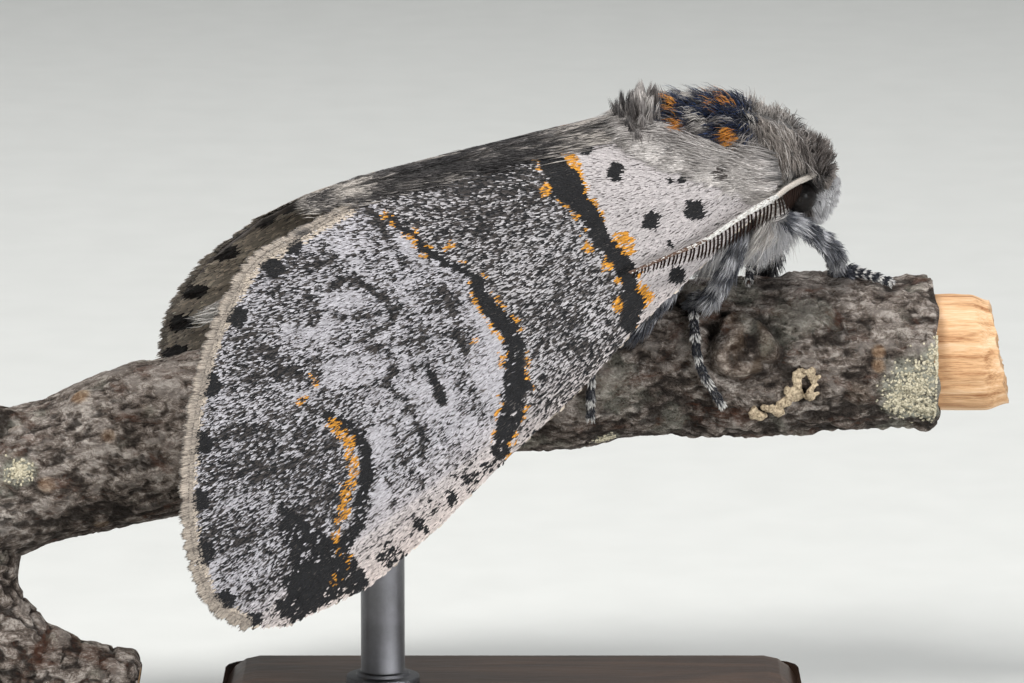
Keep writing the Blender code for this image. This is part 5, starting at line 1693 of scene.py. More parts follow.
def build_skin(finish, coat_tints):
    """One closed skin over thorax, head, abdomen and legs, fused and smoothed."""
    obj = piece("body_skin", *joined(skin_parts()), finish, "thorax_hair")
    fuse(obj, SKIN_VOXEL, 4)
    mesh = obj.data
    places = np.empty(len(mesh.vertices) * 3, np.float32)
    mesh.vertices.foreach_get("co", places)
    places = (places.reshape(-1, 3) / MM - layout(BODY_CENTRE)) @ BODY_AXES.T
    colour_points(mesh, coat_tints(places))
    mesh.materials.clear()
    mesh.materials.append(finish.material)
    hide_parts("thorax", "head", "abdomen", *LEGS)


def smear(low, high, level):
    """Colours between two, one for each level from 0 to 1."""
    low = np.array(low, float)
    return low + (np.array(high, float) - low) * np.clip(level, 0.0, 1.0)[:, None]


def body_tints(places, draw):
    """Hair colours by place on the body: the same marks colour the skin and the coat."""
    count = len(places)
    x, y, z = places.T
    luck = draw.uniform(0.0, 1.0, count)
    degrees = np.degrees(np.arctan2(np.abs(y), z))
    strand = cloud(places * (0.45, 1.0, 1.0), 0.16, 90, 2)
    level = 0.30 * luck + 0.70 * smooth((strand - 0.25) / 0.5)
    collar = smooth((x - 1.35) / 0.5)
    flank = smooth((degrees - 42.0) / 16.0)
    tints = smear((66, 62, 62), (178, 174, 172), level)
    pale = smear((118, 113, 111), (236, 232, 229), level)
    tints = tints + (pale - tints) * (flank * (1.0 - collar))[:, None]
    brown = smear((96, 87, 80), (212, 205, 199), level)
    tints = tints + (brown - tints) * collar[:, None]
    under = smooth((-z - 0.3) / 0.7) * (x > -1.6) * (1.0 - smooth((x - 2.4) / 0.4))
    tints = tints + (smear((150, 149, 153), (246, 245, 247), level) - tints) * under[:, None]
    dorsal = (z > 0.4) & (x > -2.3) & (x < 2.3)
    wobble = np.stack([0.14 * ragged(places, 0.35, 92), 6.0 * ragged(places, 0.35, 93)], -1)
    night = smear((12, 17, 34), (40, 76, 136), luck**2.5)
    for patches, colours, chance in (
        (BLUE_BLACK_PATCHES, night, 0.92),
        (ORANGE_PATCHES, smear((196, 124, 40), (232, 170, 78), luck), 0.92),
        (WHITE_PATCHES, smear((190, 184, 178), (226, 222, 217), luck), 0.85),
    ):
        inside_patch = np.zeros(count, bool)
        for at_x, at_degrees, reach_x, reach_degrees in patches:
            turned = (degrees + wobble[:, 1] - at_degrees) / reach_degrees
            inside_patch |= np.hypot((x + wobble[:, 0] - at_x) / reach_x, turned) < 1.0
        tints = np.where((inside_patch & dorsal & (luck < chance))[:, None], colours, tints)
    brow = smooth((x - 2.65) / 0.3) * smooth((z + 0.75) / 0.3)
    tints = tints + (smear((48, 41, 38), (172, 164, 158), level**1.3) - tints) * brow[:, None]
    cheek = (x > 2.0) & (np.hypot(x - EYE_AT[0], z - EYE_AT[2]) < 0.85) & (np.abs(y) > 0.8)
    tints = np.where(cheek[:, None], smear((24, 19, 18), (74, 66, 62), level), tints)
    face = (x > 2.85) & (z < -0.85)
    tints = np.where(face[:, None], smear((160, 159, 161), (246, 245, 247), level), tints)
    return np.clip(tints * draw.uniform(0.92, 1.06, (count, 1)), 0, 255)


def gathered(paths, nearest, pull):
    """Hairs drawn towards their guide hairs, with a pull for each step from root to tip."""
    return paths + pull[None, :, None] * (paths[nearest] - paths)


def nearest_guides(paths, guides):
    """For each hair the one of a few guide hairs whose root is nearest."""
    tree = kdtree.KDTree(len(guides))
    for guide in guides:
        tree.insert(paths[guide, 0], guide)
    tree.balance()
    return np.array([tree.find(root)[1] for root in paths[:, 0]])


def clear_of_eyes(paths):
    """Which hairs leave the eyes uncovered, seen straight on and from the side of the photograph."""
    clear = np.ones(len(paths), bool)
    between = 0.5 * (paths[:, 1:] + paths[:, :-1])
    spots = np.concatenate([paths, between], axis=1)
    for side, axis, radius in (
        (-1.0, np.array([0.25, -1.0, 0.10]), 0.90),
        (-1.0, BODY_AXES @ SIGHT, 1.02),
        (1.0, np.array([0.25, 1.0, 0.10]), 0.90),
    ):
        eye = np.array(EYE_AT) * (1.0, side, 1.0)
        axis = unit(axis)
        apart = spots - eye
        depth = apart @ axis
        radial = np.linalg.norm(apart - depth[..., None] * axis, axis=-1)
        clear &= ~((radial < EYE_RADIUS * radius) & (depth > 0.0)).any(axis=1)
        clear &= ~(np.linalg.norm(apart, axis=-1) < EYE_RADIUS).any(axis=1)
    return clear


def shaded_at_roots(colours, root_shade):
    """Paint of hairs from a colour for each and a brightness for each step of its path, the darker steps at
    the root being painted shade.
    """
    return paint(colours[:, None, :] * np.array(root_shade)[None, :, None])


def hair_paths(roots, out, lie, length, rise, curl, draw, steps, spread):
    """Paths of hairs in body coordinates that leave the skin and bend over along their lie."""
    lie = unit(lie + spread * draw.normal(0.0, 1.0, lie.shape))
    paths = [roots - 0.10 * out]
    for step in np.linspace(0.0, 1.0, steps)[1:]:
        lean = step * lie
        lift = (rise * step * (1.7 - 0.7 * step) - curl * step * step)[:, None] * out
        paths.append(roots + length[:, None] * (lean + lift))
    return np.stack(paths, axis=1)


def plain_tints(tints):
    """Which tints are nearly grey, and so not part of a coloured mark."""
    return tints.max(axis=1) - tints.min(axis=1) < 22


def hair_coat(
    name, roots, out, lie, length, rise, curl, width, finish, slot, draw, bake, tufts, pull, steps,
    tints=None, tips=None, spread=0.16,
):
    """A coat piece from hairs given in body coordinates, gathered in as many hairs to a tuft."""
    count = len(roots)
    paths = hair_paths(roots, out, lie, length, rise, curl, draw, steps, spread)
    nearest = nearest_guides(paths, draw.permutation(count)[: max(count // tufts, 1)])
    share = np.linspace(0.0, 1.0, steps)
    paths = gathered(paths, nearest, pull * share**1.6)
    taper = np.interp(share, (0.0, 0.35, 0.75, 1.0), (0.85, 1.0, 0.7, 0.25))
    widths = width * draw.uniform(0.7, 1.35, (count, 1)) * taper[None, :]
    if tints is None:
        tints = body_tints(0.4 * roots + 0.6 * paths[:, -1], draw)
    plain = plain_tints(tints) & plain_tints(tints[nearest])
    tints = np.where(plain[:, None], 0.55 * tints + 0.45 * tints[nearest], tints)
    # Painted shade: each hair is darker at its root and a little lighter at its tip.
    root_shade = np.interp(share, (0.0, 0.4, 1.0), (0.55, 0.95, 1.08))[None, :, None]
    colours = tints[:, None, :] * root_shade
    if tips is not None:
        mix = (smooth((share - 0.45) / 0.4)[None, :] * tips[:, None])[..., None]
        colours = colours * (1.0 - mix) + mix * np.array(TIP_BLACK, float)
    colours = paint(colours)
    keep = clear_of_eyes(paths) & clear_of_legs(paths)
    facing = out @ BODY_AXES
    kept = (body(paths[keep]), widths[keep], facing[keep], colours[keep], bake[keep])
    return coat(name, *kept, finish, slot, 0.55)


def rooted(stations, count, depth, draw, spread=None):
    """Roots of hairs under a body surface, the directions out and back, and their bake places."""
    t, angle = scatter(stations, count, -depth, draw, spread)
    bake = np.stack([t, (angle % (2 * math.pi)) / (2 * math.pi)], -1)
    return (*surface_frames(stations, t, angle, -depth), bake)


def thorax_lie(root, back):
    """How the hair lies on the thorax: back over the top, down the collar and under the belly."""
    collar = smooth((root[:, 0] - 1.1) / 0.8)[:, None]
    belly = smooth((-root[:, 2] - 0.2) / 0.9)[:, None]
    side = np.where(root[:, 1] > 0, 1.0, -1.0)
    steep = np.clip(np.abs(root[:, 1]) / 2.4, 0.0, 1.0)
    downward = np.stack([np.zeros(len(root)), side * (1.0 - 0.7 * steep), -0.25 - steep], -1)
    swirl = (cloud(root, 0.9, 94, 2) - 0.5)[:, None]
    lie = back * (1.0 - 0.95 * collar) + downward * (0.12 + 0.85 * collar + 0.7 * swirl)
    return lie + belly * np.array([0.15, 0.0, -0.9])


def build_thorax_coat(finish, draw):
    """Dense fine hair of the back and sides, in two pieces, shorter over the dark marks."""
    for order, (count, depth, width) in enumerate(THORAX_LAYERS):
        root, out, back, bake = rooted(THORAX, count, depth, draw)
        collar = smooth((root[:, 0] - 1.5) / 0.9)
        belly = smooth((-root[:, 2] - 0.2) / 0.9)
        dorsal = smooth((root[:, 2] - 1.9) / 0.5) * (1.0 - collar) * smooth((root[:, 0] + 1.9) / 0.4)
        rear = smooth((-1.9 - root[:, 0]) / 0.3)
        length = 0.95 + 0.10 * collar - 0.10 * belly - 0.25 * dorsal - 0.25 * rear
        length = length * draw.uniform(0.7, 1.25, len(root))
        rise = 0.27 + 0.06 * order + 0.05 * draw.normal(0, 1, len(root)) + 0.34 * dorsal - 0.12 * rear
        curl = 0.10 + 0.10 * draw.uniform(0, 1, len(root)) + 0.05 * dorsal
        lie = thorax_lie(root, back)
        hair_coat(
            f"thorax_coat_{order + 1}", root, out, lie, length, rise, curl, width, finish, "thorax_hair",
            draw, bake, 26 - 10 * order, 0.55, 3,
        )


def build_fine_coat(finish, draw):
    """Longer single hairs that stand off the coat and soften every outline."""
    root, out, back, bake = rooted(THORAX, FINE_HAIRS, 0.2, draw)
    dorsal = smooth((root[:, 2] - 1.7) / 0.5) * (1.0 - smooth((root[:, 0] - 1.5) / 0.5))
    length = (0.95 - 0.25 * dorsal) * draw.uniform(0.7, 1.35, len(root))
    rise = 0.32 + 0.16 * np.abs(draw.normal(0, 1, len(root))) + 0.15 * dorsal
    lie = thorax_lie(root, back)
    tints = body_tints(root + 0.5 * length[:, None] * unit(lie), draw)
    bright = (draw.uniform(0, 1, len(root)) < 0.5) & (tints.mean(axis=1) > 80) & (dorsal < 0.2)
    tints = np.where(bright[:, None], np.array((205, 200, 196)), tints)
    hair_coat(
        "thorax_fine_hair", root, out, lie, length, rise, 0.16, 0.018, finish,
        "thorax_hair", draw, bake, 9, 0.3, 4, tints,
    )


def build_collar_hair(finish, draw):
    """Longer hair from the collar that falls back over the shoulders and wing roots."""
    def spread(place):
        front = np.exp(-(((place[:, 0] - 1.80) / 0.55) ** 2))
        return front * (place[:, 2] > -0.9) * smooth((np.abs(place[:, 1]) - 0.7) / 0.8)

    root, out, _, bake = rooted(THORAX, COLLAR_HAIRS, 0.2, draw, spread)
    side = np.where(root[:, 1] > 0, 1.0, -1.0)
    low = smooth((1.6 - root[:, 2]) / 1.2)
    lie = np.stack([np.full(len(root), -0.95), side * (0.55 - 0.2 * low), -0.35 - 0.25 * low], -1)
    length = (1.30 + 0.25 * low) * draw.uniform(0.5, 1.2, len(root))
    rise = 0.18 + 0.10 * draw.uniform(0, 1, len(root))
    level = 0.3 * draw.uniform(0, 1, len(root)) + 0.7 * smooth((cloud(root, 0.22, 110, 2) - 0.25) / 0.5)
    colours = smear((122, 115, 110), (240, 235, 231), level + 0.30 * low)
    hair_coat(
        "collar_hair", root, out, lie, length, rise, 0.08, 0.030, finish, "thorax_hair", draw,
        bake, 22, 0.45, 4, colours,
    )


def build_crest(finish, draw):
    """The tuft over the rear of the thorax: upright hair that curls back, dark at the tips."""
    def spread(place):
        rear = np.exp(-(((place[:, 0] + 2.02) / 0.40) ** 2) - (place[:, 1] / 0.80) ** 2)
        return rear * (place[:, 2] > 0.6)

    root, out, _, bake = rooted(THORAX, CREST_HAIRS, 0.3, draw, spread)
    over = np.abs(root[:, 1])
    lie = np.stack([0.25 * (root[:, 0] + 2.0) + 0.02, 0.20 * root[:, 1], 1.0 - 0.2 * over], -1)
    length = (1.84 - 0.95 * np.maximum(root[:, 0] + 2.0, 0.0)) * draw.uniform(0.60, 1.08, len(root))
    length = length * (1.0 - 0.32 * over)
    curl = 0.16 + 0.1 * draw.uniform(0, 1, len(root))
    strand = smooth((cloud(root * (1.0, 1.6, 1.0), 0.24, 100, 1) - 0.30) / 0.4)
    level = 0.22 * draw.uniform(0, 1, len(root)) + 0.78 * strand
    level = level + 0.35 * smooth((root[:, 0] + 2.0) / 0.3) - 0.12
    mixed = smear((50, 44, 42), (226, 221, 217), level)
    tips = (0.30 + smooth((-1.95 - root[:, 0]) / 0.3)) * smooth((cloud(root, 0.35, 102, 2) - 0.15) / 0.2)
    tips = tips * (draw.uniform(0, 1, len(root)) < 0.85)
    hair_coat(
        "crest_hair", root, out, lie, length, 0.26, curl, 0.034, finish, "thorax_hair", draw,
        bake, 40, 0.72, 4, mixed, np.clip(tips, 0.0, 1.0), 0.06,
    )


def build_shoulder_hair(finish, draw):
    """Fine pale hair that streams back from the shoulders and melts into the white wing roots."""
    line_x, line_across = np.array(FORE_DORSUM[::-1]).T
    for side, hand in ((-1, "right"), (1, "left")):
        count, front = SHOULDER_HAIRS[side], SHOULDER_FRONT[side]
        x = front - (front + 2.1) * draw.uniform(0.0, 1.0, count) ** 0.9
        down = draw.uniform(0.0, 1.0, count) ** 0.9
        middle = smooth((x + 0.9) / 0.6) * (1.0 - smooth((x - 1.4) / 0.5))
        top = 1.0 - 0.45 * middle
        width = 0.45 + top + 0.55 * smooth((x - 0.9) / 0.7)
        across = np.interp(x, line_x, line_across) - top + width * down
        across = across + 0.10 * draw.normal(0.0, 1.0, count)
        spot = np.stack([x, across], -1)
        tuft = cloud(spot * (0.6, 1.4), 0.5, 109, 2)
        length = (1.25 - 0.50 * down) * draw.uniform(0.40, 1.2, count)
        drift = -0.36 + 0.26 * down + 0.16 * draw.normal(0.0, 1.0, count)
        drift = drift + 0.9 * (cloud(spot, 0.7, 103, 2) - 0.5)
        level = 0.04 + 0.16 * draw.uniform(0.0, 1.0, count) + 0.20 * smooth((tuft - 0.3) / 0.4)
        level = (1.0 - 0.8 * down) * level + 0.04
        sunk = 0.12 + 0.5 * smooth((x - 0.4) / 1.3)
        paths = [roof_point(x, across, side, -sunk)]
        steps = np.array([0.0, 0.3, 0.65, 1.0])
        for step in steps[1:]:
            height = level * math.sin(0.4 + 2.0 * step) + 0.03 - sunk * (1.0 - step) ** 2
            paths.append(roof_point(x - step * length, across + drift * step * length, side, height))
        paths = np.stack(paths, axis=1)
        nearest = nearest_guides(paths, draw.permutation(count)[: count // 16])
        paths = gathered(paths, nearest, 0.42 * steps**1.5)
        streak = cloud(spot * (0.4, 2.4), 0.4, 95, 2)
        bright = 0.50 * draw.uniform(0, 1, count) + 0.26 * smooth((streak - 0.22) / 0.5)
        bright = bright + 0.26 * down + 0.13
        colours = smear((92, 86, 83), (234, 229, 226), bright)
        colours = 0.66 * colours + 0.34 * colours[nearest]
        brown = far_from(photo_place(body(paths[:, 2])), *MARK_TEGULA)
        brown = brown + 4.0 * draw.normal(0.0, 0.5, count) < 8.0
        brown = (brown & (draw.uniform(0, 1, count) < 0.8))[:, None]
        colours = np.where(brown, np.array(TEGULA_BROWN, float), colours)
        # Painted shade: each hair is darker at its root.
        tints = shaded_at_roots(colours, (0.60, 0.90, 1.0, 1.06))
        widths = 0.032 * draw.uniform(0.6, 1.4, (count, 1)) * np.array([[0.9, 1.0, 0.75, 0.2]])
        facing = sheet_normal(across, side)
        bake = np.stack([(x + 3.0) / 5.2, np.clip((across + 1.0) / 6.0, 0, 1)], -1)
        keep = clear_of_eyes(paths)
        kept = (body(paths[keep]), widths[keep], facing[keep], tints[keep], bake[keep])
        coat(f"shoulder_{hand}_hair", *kept, finish, "thorax_hair", 0.5)


def build_chest_hair(finish, draw):
    """Shaggy pale hair that hangs under the front of the thorax between the legs."""
    def spread(place):
        return (place[:, 2] < -0.6) * smooth((place[:, 0] + 1.0) / 1.6) * (place[:, 0] < 2.5)

    root, out, _, bake = rooted(THORAX, CHEST_HAIRS, 0.4, draw, spread)
    swirls = [cloud(root, 0.7, seed, 2) - 0.5 for seed in (96, 97)]
    swirl = np.stack([*swirls, np.zeros(len(root))], -1)
    lie = np.array([-0.2, 0.0, -1.0]) + 1.4 * swirl + 0.15 * out
    length = (0.75 + 0.55 * smooth((root[:, 0] - 0.2) / 1.0)) * draw.uniform(0.6, 1.2, len(root))
    rise = 0.10 + 0.15 * draw.uniform(0, 1, len(root))
    level = 0.4 * draw.uniform(0, 1, len(root)) + 0.6 * smooth((cloud(root, 0.25, 104, 2) - 0.25) / 0.5)
    colours = smear((158, 157, 161), (248, 247, 249), level)
    hair_coat(
        "chest_hair", root, out, lie, length, rise, 0.1, 0.026, finish, "thorax_hair", draw,
        bake, 22, 0.5, 4, colours,
    )


def build_head_coat(finish, draw):
    """Hair of the head: a dark brow tuft that stands forward, pale face hair that hangs."""
    root, out, back, bake = rooted(HEAD, HEAD_HAIRS, HEAD_DEPTH, draw)
    top = smooth((root[:, 2] + 0.75) / 0.5)
    low = smooth((-root[:, 2] - 1.1) / 0.5)
    front = smooth((root[:, 0] - 3.0) / 0.5)
    brow = top * smooth((root[:, 0] - 2.4) / 0.4)
    lie = np.array([0.02, 0.0, -0.45]) + brow[:, None] * np.array([0.30, 0.0, 0.95])
    swirl = cloud(root, 0.5, 105, 2)[:, None] - 0.5
    lie = lie + low[:, None] * np.array([0.0, 0.0, -0.5]) + 0.4 * swirl * back
    length = (0.24 + 0.30 * brow + 0.16 * low - 0.04 * front) * draw.uniform(0.65, 1.3, len(root))
    rise = (0.30 + 0.25 * draw.uniform(0, 1, len(root))) * (1.0 - 0.5 * front * (1.0 - brow))
    hair_coat(
        "head_coat", root, out, lie, length, rise, 0.10, 0.028, finish, "head_hair", draw,
        bake, 26, 0.55, 4,
    )


def build_abdomen_coat(finish, draw):
    """Soft grey hair in rings over the abdomen, longer in a pale tail tuft."""
    root, out, back, bake = rooted(ABDOMEN, ABDOMEN_HAIRS, ABDOMEN_DEPTH, draw)
    tail = smooth((-root[:, 0] - 13.5) / 2.5)
    length = (0.62 + 0.75 * tail) * draw.uniform(0.7, 1.25, len(root))
    rise = 0.26 + 0.14 * draw.uniform(0, 1, len(root)) - 0.10 * tail
    rings = 0.5 + 0.5 * np.cos((root[:, 0] + 3.0) * 2 * math.pi / 1.75)
    luck = draw.uniform(0, 1, len(root))
    level = 0.45 * luck + 0.3 * rings + 0.25 * cloud(root, 0.6, 98, 2) + 0.3 * tail
    greys = np.array(((92, 86, 82), (132, 126, 121), (172, 167, 162), (208, 204, 200)), float)
    colours = greys[np.digitize(level, (0.36, 0.5, 0.68))]
    hair_coat(
        "abdomen_coat", root, out, back, length, rise, 0.08, 0.055, finish, "abdomen_hair", draw,
        bake, 20, 0.4, 3, colours,
    )


def leg_frames(path):
    """Directions along a leg and two across it at each step."""
    tangents = unit(np.gradient(path, axis=0))
    side = unit(np.cross(tangents[0], SIGHT))
    sides = []
    for tangent in tangents:
        side = unit(side - tangent * (side @ tangent))
        sides.append(side)
    sides = np.array(sides)
    return tangents, sides, np.cross(tangents, sides)


def clear_of_legs(paths):
    """Which hairs leave the two near legs uncovered from the side of the photograph."""
    spots = body(paths)
    clear = np.ones(len(paths), bool)
    for name in NEAR_LEGS:
        leg, foot_share = leg_path(name)
        for place in leg[4 : int(foot_share * len(leg)) : 3]:
            apart = spots - place
            depth = apart @ SIGHT
            radial = np.linalg.norm(apart - depth[..., None] * SIGHT, axis=-1)
            clear &= ~((radial < 0.30) & (depth > 0.10)).any(axis=1)
    return clear


def build_leg_coat(name, order, finish, claw_finish, draw):
    """Long hair on the upper leg and short scales on the foot, banded dark and white."""
    path, foot_share = leg_path(name)
    tangents, sides, others = leg_frames(path)
    radii = leg_radii(path, foot_share)
    upper, foot = NEAR_LEG_HAIRS if name in NEAR_LEGS else FAR_LEG_HAIRS
    knee = foot_share * (1.32 if name.startswith("foreleg") else 1.06)
    share = np.concatenate([draw.uniform(0.03, knee, upper), draw.uniform(knee * 0.85, 0.995, foot)])
    hairy = 1.0 - smooth((share - knee * 0.82) / (knee * 0.2))
    hairy[upper:] = 0.0
    angle = draw.uniform(0.0, 2 * math.pi, len(share))
    index = share * (len(path) - 1)
    low = np.minimum(index.astype(int), len(path) - 2)
    part = (index - low)[:, None]
    centre = path[low] * (1 - part) + path[low + 1] * part
    along = unit(tangents[low] * (1 - part) + tangents[low + 1] * part)
    out = unit(np.cos(angle)[:, None] * sides[low] + np.sin(angle)[:, None] * others[low])
    roots = centre + radii[low][:, None] * out * 0.92
    length = (0.20 + 0.42 * hairy) * draw.uniform(0.6, 1.3, len(share))
    rise = 0.20 + 0.15 * hairy * draw.uniform(0.3, 1.3, len(share))
    lie = along + 0.12 * draw.normal(0.0, 1.0, along.shape) + hairy[:, None] * np.array([0.0, 0.0, -0.12])
    lie = unit(lie)
    paths = [roots - 0.04 * out]
    for step in (0.5, 1.0):
        lift = (rise * step * (1.5 - 0.6 * step))[:, None] * out
        paths.append(roots + length[:, None] * (step * lie + lift))
    paths = np.stack(paths, axis=1)
    nearest = nearest_guides(paths[:upper], draw.permutation(upper)[: upper // 22])
    paths[:upper] = gathered(paths[:upper], nearest, 0.45 * np.linspace(0.0, 1.0, 3) ** 1.6)
    ring = np.clip((share - knee * 0.93) / (1.0 - knee * 0.93), 0.0, 1.0) * 5.0
    pale_ring = (ring % 1.0) + 0.05 * draw.normal(0.0, 1.0, len(share)) > 0.68
    luck = draw.uniform(0, 1, len(share))
    level = 0.35 * luck + 0.65 * smooth((cloud(roots * (1.0, 1.0, 0.6), 0.20, 99, 1) - 0.30) / 0.4)
    colours = smear((30, 34, 46), (240, 239, 242), level)
    foot_colours = np.where(pale_ring[:, None], (214.0, 212.0, 209.0), (26.0, 29.0, 40.0))
    foot_colours = np.where((luck < 0.10)[:, None], np.array((140, 140, 142), float), foot_colours)
    colours = np.where((ring > 0.0)[:, None], foot_colours, colours)
    # Painted shade: each hair is darker at its root.
    tints = shaded_at_roots(colours, (0.6, 1.0, 1.05))
    widths = (0.030 + 0.018 * (1.0 - hairy))[:, None] * draw.uniform(0.7, 1.3, (len(share), 1))
    widths = widths * np.array([[0.9, 1.0, 0.3]])
    bake = np.stack([share, (order + angle / (2 * math.pi)) / 6.0], -1)
    coat(f"{name}_coat", paths, widths, out, tints, bake, finish, "leg_hair", 0.5)
    build_claws(name, path, tangents, claw_finish)


def build_claws(name, path, tangents, finish):
    """Two small curved claws at the end of a foot."""
    parts = []
    tip = path[-1]
    along = tangents[-1]
    axis, _ = twig_frame(np.array((tip[0] - LAYOUT_ORIGIN[0])))
    inward = unit(layout(axis) - tip)
    inward = unit(inward - along * (inward @ along))
    over = np.cross(along, inward)
    for turn in (-1.0, 1.0):
        bend = np.linspace(0.0, 1.0, 9)[:, None]
        curl = bend**2 * (0.13 * inward - 0.03 * along)
        line = tip - 0.03 * along + bend * (0.17 * along + turn * 0.07 * over) + curl
        parts.append(tube(line, np.linspace(0.042, 0.008, 9), 8))
    piece(f"{name}_claws", *joined(parts), finish, "leg_hair")


# Head


def build_eye(hand, side, finish):
    """A slightly flattened ball of facets with a smooth rim."""
    bpy.ops.mesh.primitive_ico_sphere_add(subdivisions=5, radius=EYE_RADIUS * 0.96 * MM)
    eye = bpy.context.active_object
    eye.name = f"eye_{hand}_ball"
    place = body((EYE_AT[0], side * EYE_AT[1], EYE_AT[2])) * MM
    outward = unit(np.array([0.25, side, -0.05]) @ BODY_AXES)
    for vertex in eye.data.vertices:
        spot = np.array(vertex.co)
        depth = spot @ outward
        vertex.co = spot - 0.10 * depth * outward + place
    bpy.ops.object.shade_smooth()
    eye.select_set(False)
    dress(eye, finish, (f"eye_{hand}",))


def feeler_path(side):
    drop = LEFT_FEELER_DROP if side > 0 else 0.0
    sag = drop * np.linspace(0.0, 1.0, len(FEELER_START)) ** 2
    keys = [body((x, side * y, z - low)) for (x, y, z), low in zip(FEELER_START, sag)]
    keys += [on_roof(x, across + drop, side, FEELER_LIFT) for x, across in FEELER_OVER_WING]
    return curve_at(np.array(keys), np.linspace(0.0, 1.0, FEELER_STEPS))


def build_feeler(hand, side, shaft_finish, tooth_finish, scales, draw):
    """A ringed shaft with two rows of fine comb teeth, and white scales along its upper side."""
    path = feeler_path(side)
    share = np.linspace(0.0, 1.0, len(path))
    radii = FEELER_RADIUS + (FEELER_TIP_RADIUS - FEELER_RADIUS) * smooth((share - 0.35) / 0.65)
    steps = np.linalg.norm(np.diff(path, axis=0), axis=1)
    length = np.concatenate([[0.0], np.cumsum(steps)])
    ringed = radii * (1.0 + 0.08 * np.cos(length / TOOTH_PITCH * 2 * math.pi))
    piece(f"antenna_{hand}_shaft", *tube(path, ringed, 14), shaft_finish, "feeler", (f"antenna_{hand}",))
    teeth = []
    tangents = unit(np.gradient(path, axis=0))
    normal = sheet_normal(np.array(4.5), side)
    for at in np.arange(1.3, length[-1] - 0.05, TOOTH_PITCH):
        index = int(np.searchsorted(length, at))
        along = tangents[index]
        down = unit(np.cross(along, normal)) * side
        place = at / length[-1]
        size = TOOTH_LENGTH * smooth((place - 0.06) / 0.20) * (1.0 - 0.72 * smooth((place - 0.55) / 0.45))
        for degrees in TOOTH_TURNS:
            turn = math.radians(degrees + draw.uniform(-3.0, 3.0))
            direction = math.cos(turn) * down + math.sin(turn) * normal
            root = path[index] + 0.6 * radii[index] * direction
            bend = np.linspace(0.0, 1.0, 5)[:, None]
            curl = 0.22 * bend**2 * (along - 0.4 * direction)
            line = root + size * (bend * (direction + 0.42 * along) + curl)
            teeth.append(tube(line, TOOTH_WIDTH / 2 * np.array([1.1, 1.0, 0.85, 0.7, 0.35]), 6))
    piece(f"antenna_{hand}_comb", *joined(teeth), tooth_finish, "feeler")
    build_feeler_scales(hand, path, tangents, radii, normal, side, scales, draw)


def build_feeler_scales(hand, path, tangents, radii, normal, side, scales, draw):
    count = FEELER_SCALES
    share = draw.uniform(0.0, 1.0, count) ** 1.1
    index = np.minimum((share * (len(path) - 1)).astype(int), len(path) - 2)
    part = (share * (len(path) - 1) - index)[:, None]
    centre = path[index] * (1 - part) + path[index + 1] * part
    down = unit(np.cross(tangents[index], normal)) * side
    turn = draw.uniform(-1.1, 2.3, count)
    out = unit(np.cos(turn)[:, None] * -down + np.sin(turn)[:, None] * normal)
    roots = centre + radii[index][:, None] * out
    tints = np.array((222, 220, 216), float) * draw.uniform(0.82, 1.04, (count, 1))
    brown = draw.uniform(0, 1, count) < 0.05 + 0.80 * smooth((share - 0.62) / 0.2)
    tints = np.where(brown[:, None], np.array((92, 70, 58)), tints)
    size = 0.10 * draw.uniform(0.8, 1.2, count)
    plates(
        f"antenna_{hand}_scales", roots, tangents[index], out, size, 0.5 * size, paint(tints),
        np.stack([share, (turn + 1.1) / 3.4], -1), scales, "feeler",
    )


# Lichen crusts and a crumb of dry resin on the twig


def lumps(places, sizes, outward, draw, flat):
    """Small uneven lumps of a few faces each at the given places."""
    bpy.ops.mesh.primitive_ico_sphere_add(subdivisions=1, radius=1.0)
    ball = bpy.context.active_object
    unit_points = np.array([vertex.co for vertex in ball.data.vertices])
    unit_faces = np.array([list(polygon.vertices) for polygon in ball.data.polygons])
    bpy.data.objects.remove(ball)
    parts = []
    for place, size, out in zip(places, sizes, outward):
        uneven = cloud(unit_points + draw.uniform(0, 50, 3), 0.9, 101, 2) - 0.5
        shape = unit_points * (1.0 + 0.45 * uneven[:, None])
        shape = shape * draw.uniform(0.75, 1.3, 3)
        high = shape @ out
        shape = shape - (1.0 - flat) * high[:, None] * out
        parts.append((place + size * shape, unit_faces))
    return joined(parts)


def on_bark(u, turn, above=0.0):
    """World points on the bark's own surface, with the direction out of it."""
    radius = twig_radius(u, turn) + bark_fields(u, turn)[0] + above
    spots = around_twig(u, turn, radius)
    return spots, unit(spots - around_twig(u, turn, np.zeros(len(spots))))


def build_lichen(finish, draw):
    us, turns, sizes = [], [], []
    for pixel_x, pixel_y, reach in MARK_LICHEN:
        u, degrees = twig_spot(pixel_x, pixel_y)
        count = int(LICHEN_LUMPS * reach)
        us.append(u + reach * 0.7 * draw.normal(0.0, 0.5, count))
        turns.append(math.radians(degrees) + reach * 0.7 * draw.normal(0.0, 0.5, count) / TWIG_RADIUS)
        sizes.append(draw.uniform(0.02, 0.065, count))
    u = np.minimum(np.concatenate(us), TWIG_RIGHT - 0.15)
    turn = np.concatenate(turns)
    size = np.concatenate(sizes)
    spots, out = on_bark(u, turn)
    piece("twig_lichen", *lumps(spots, size, out, draw, 0.5), finish, "bark")


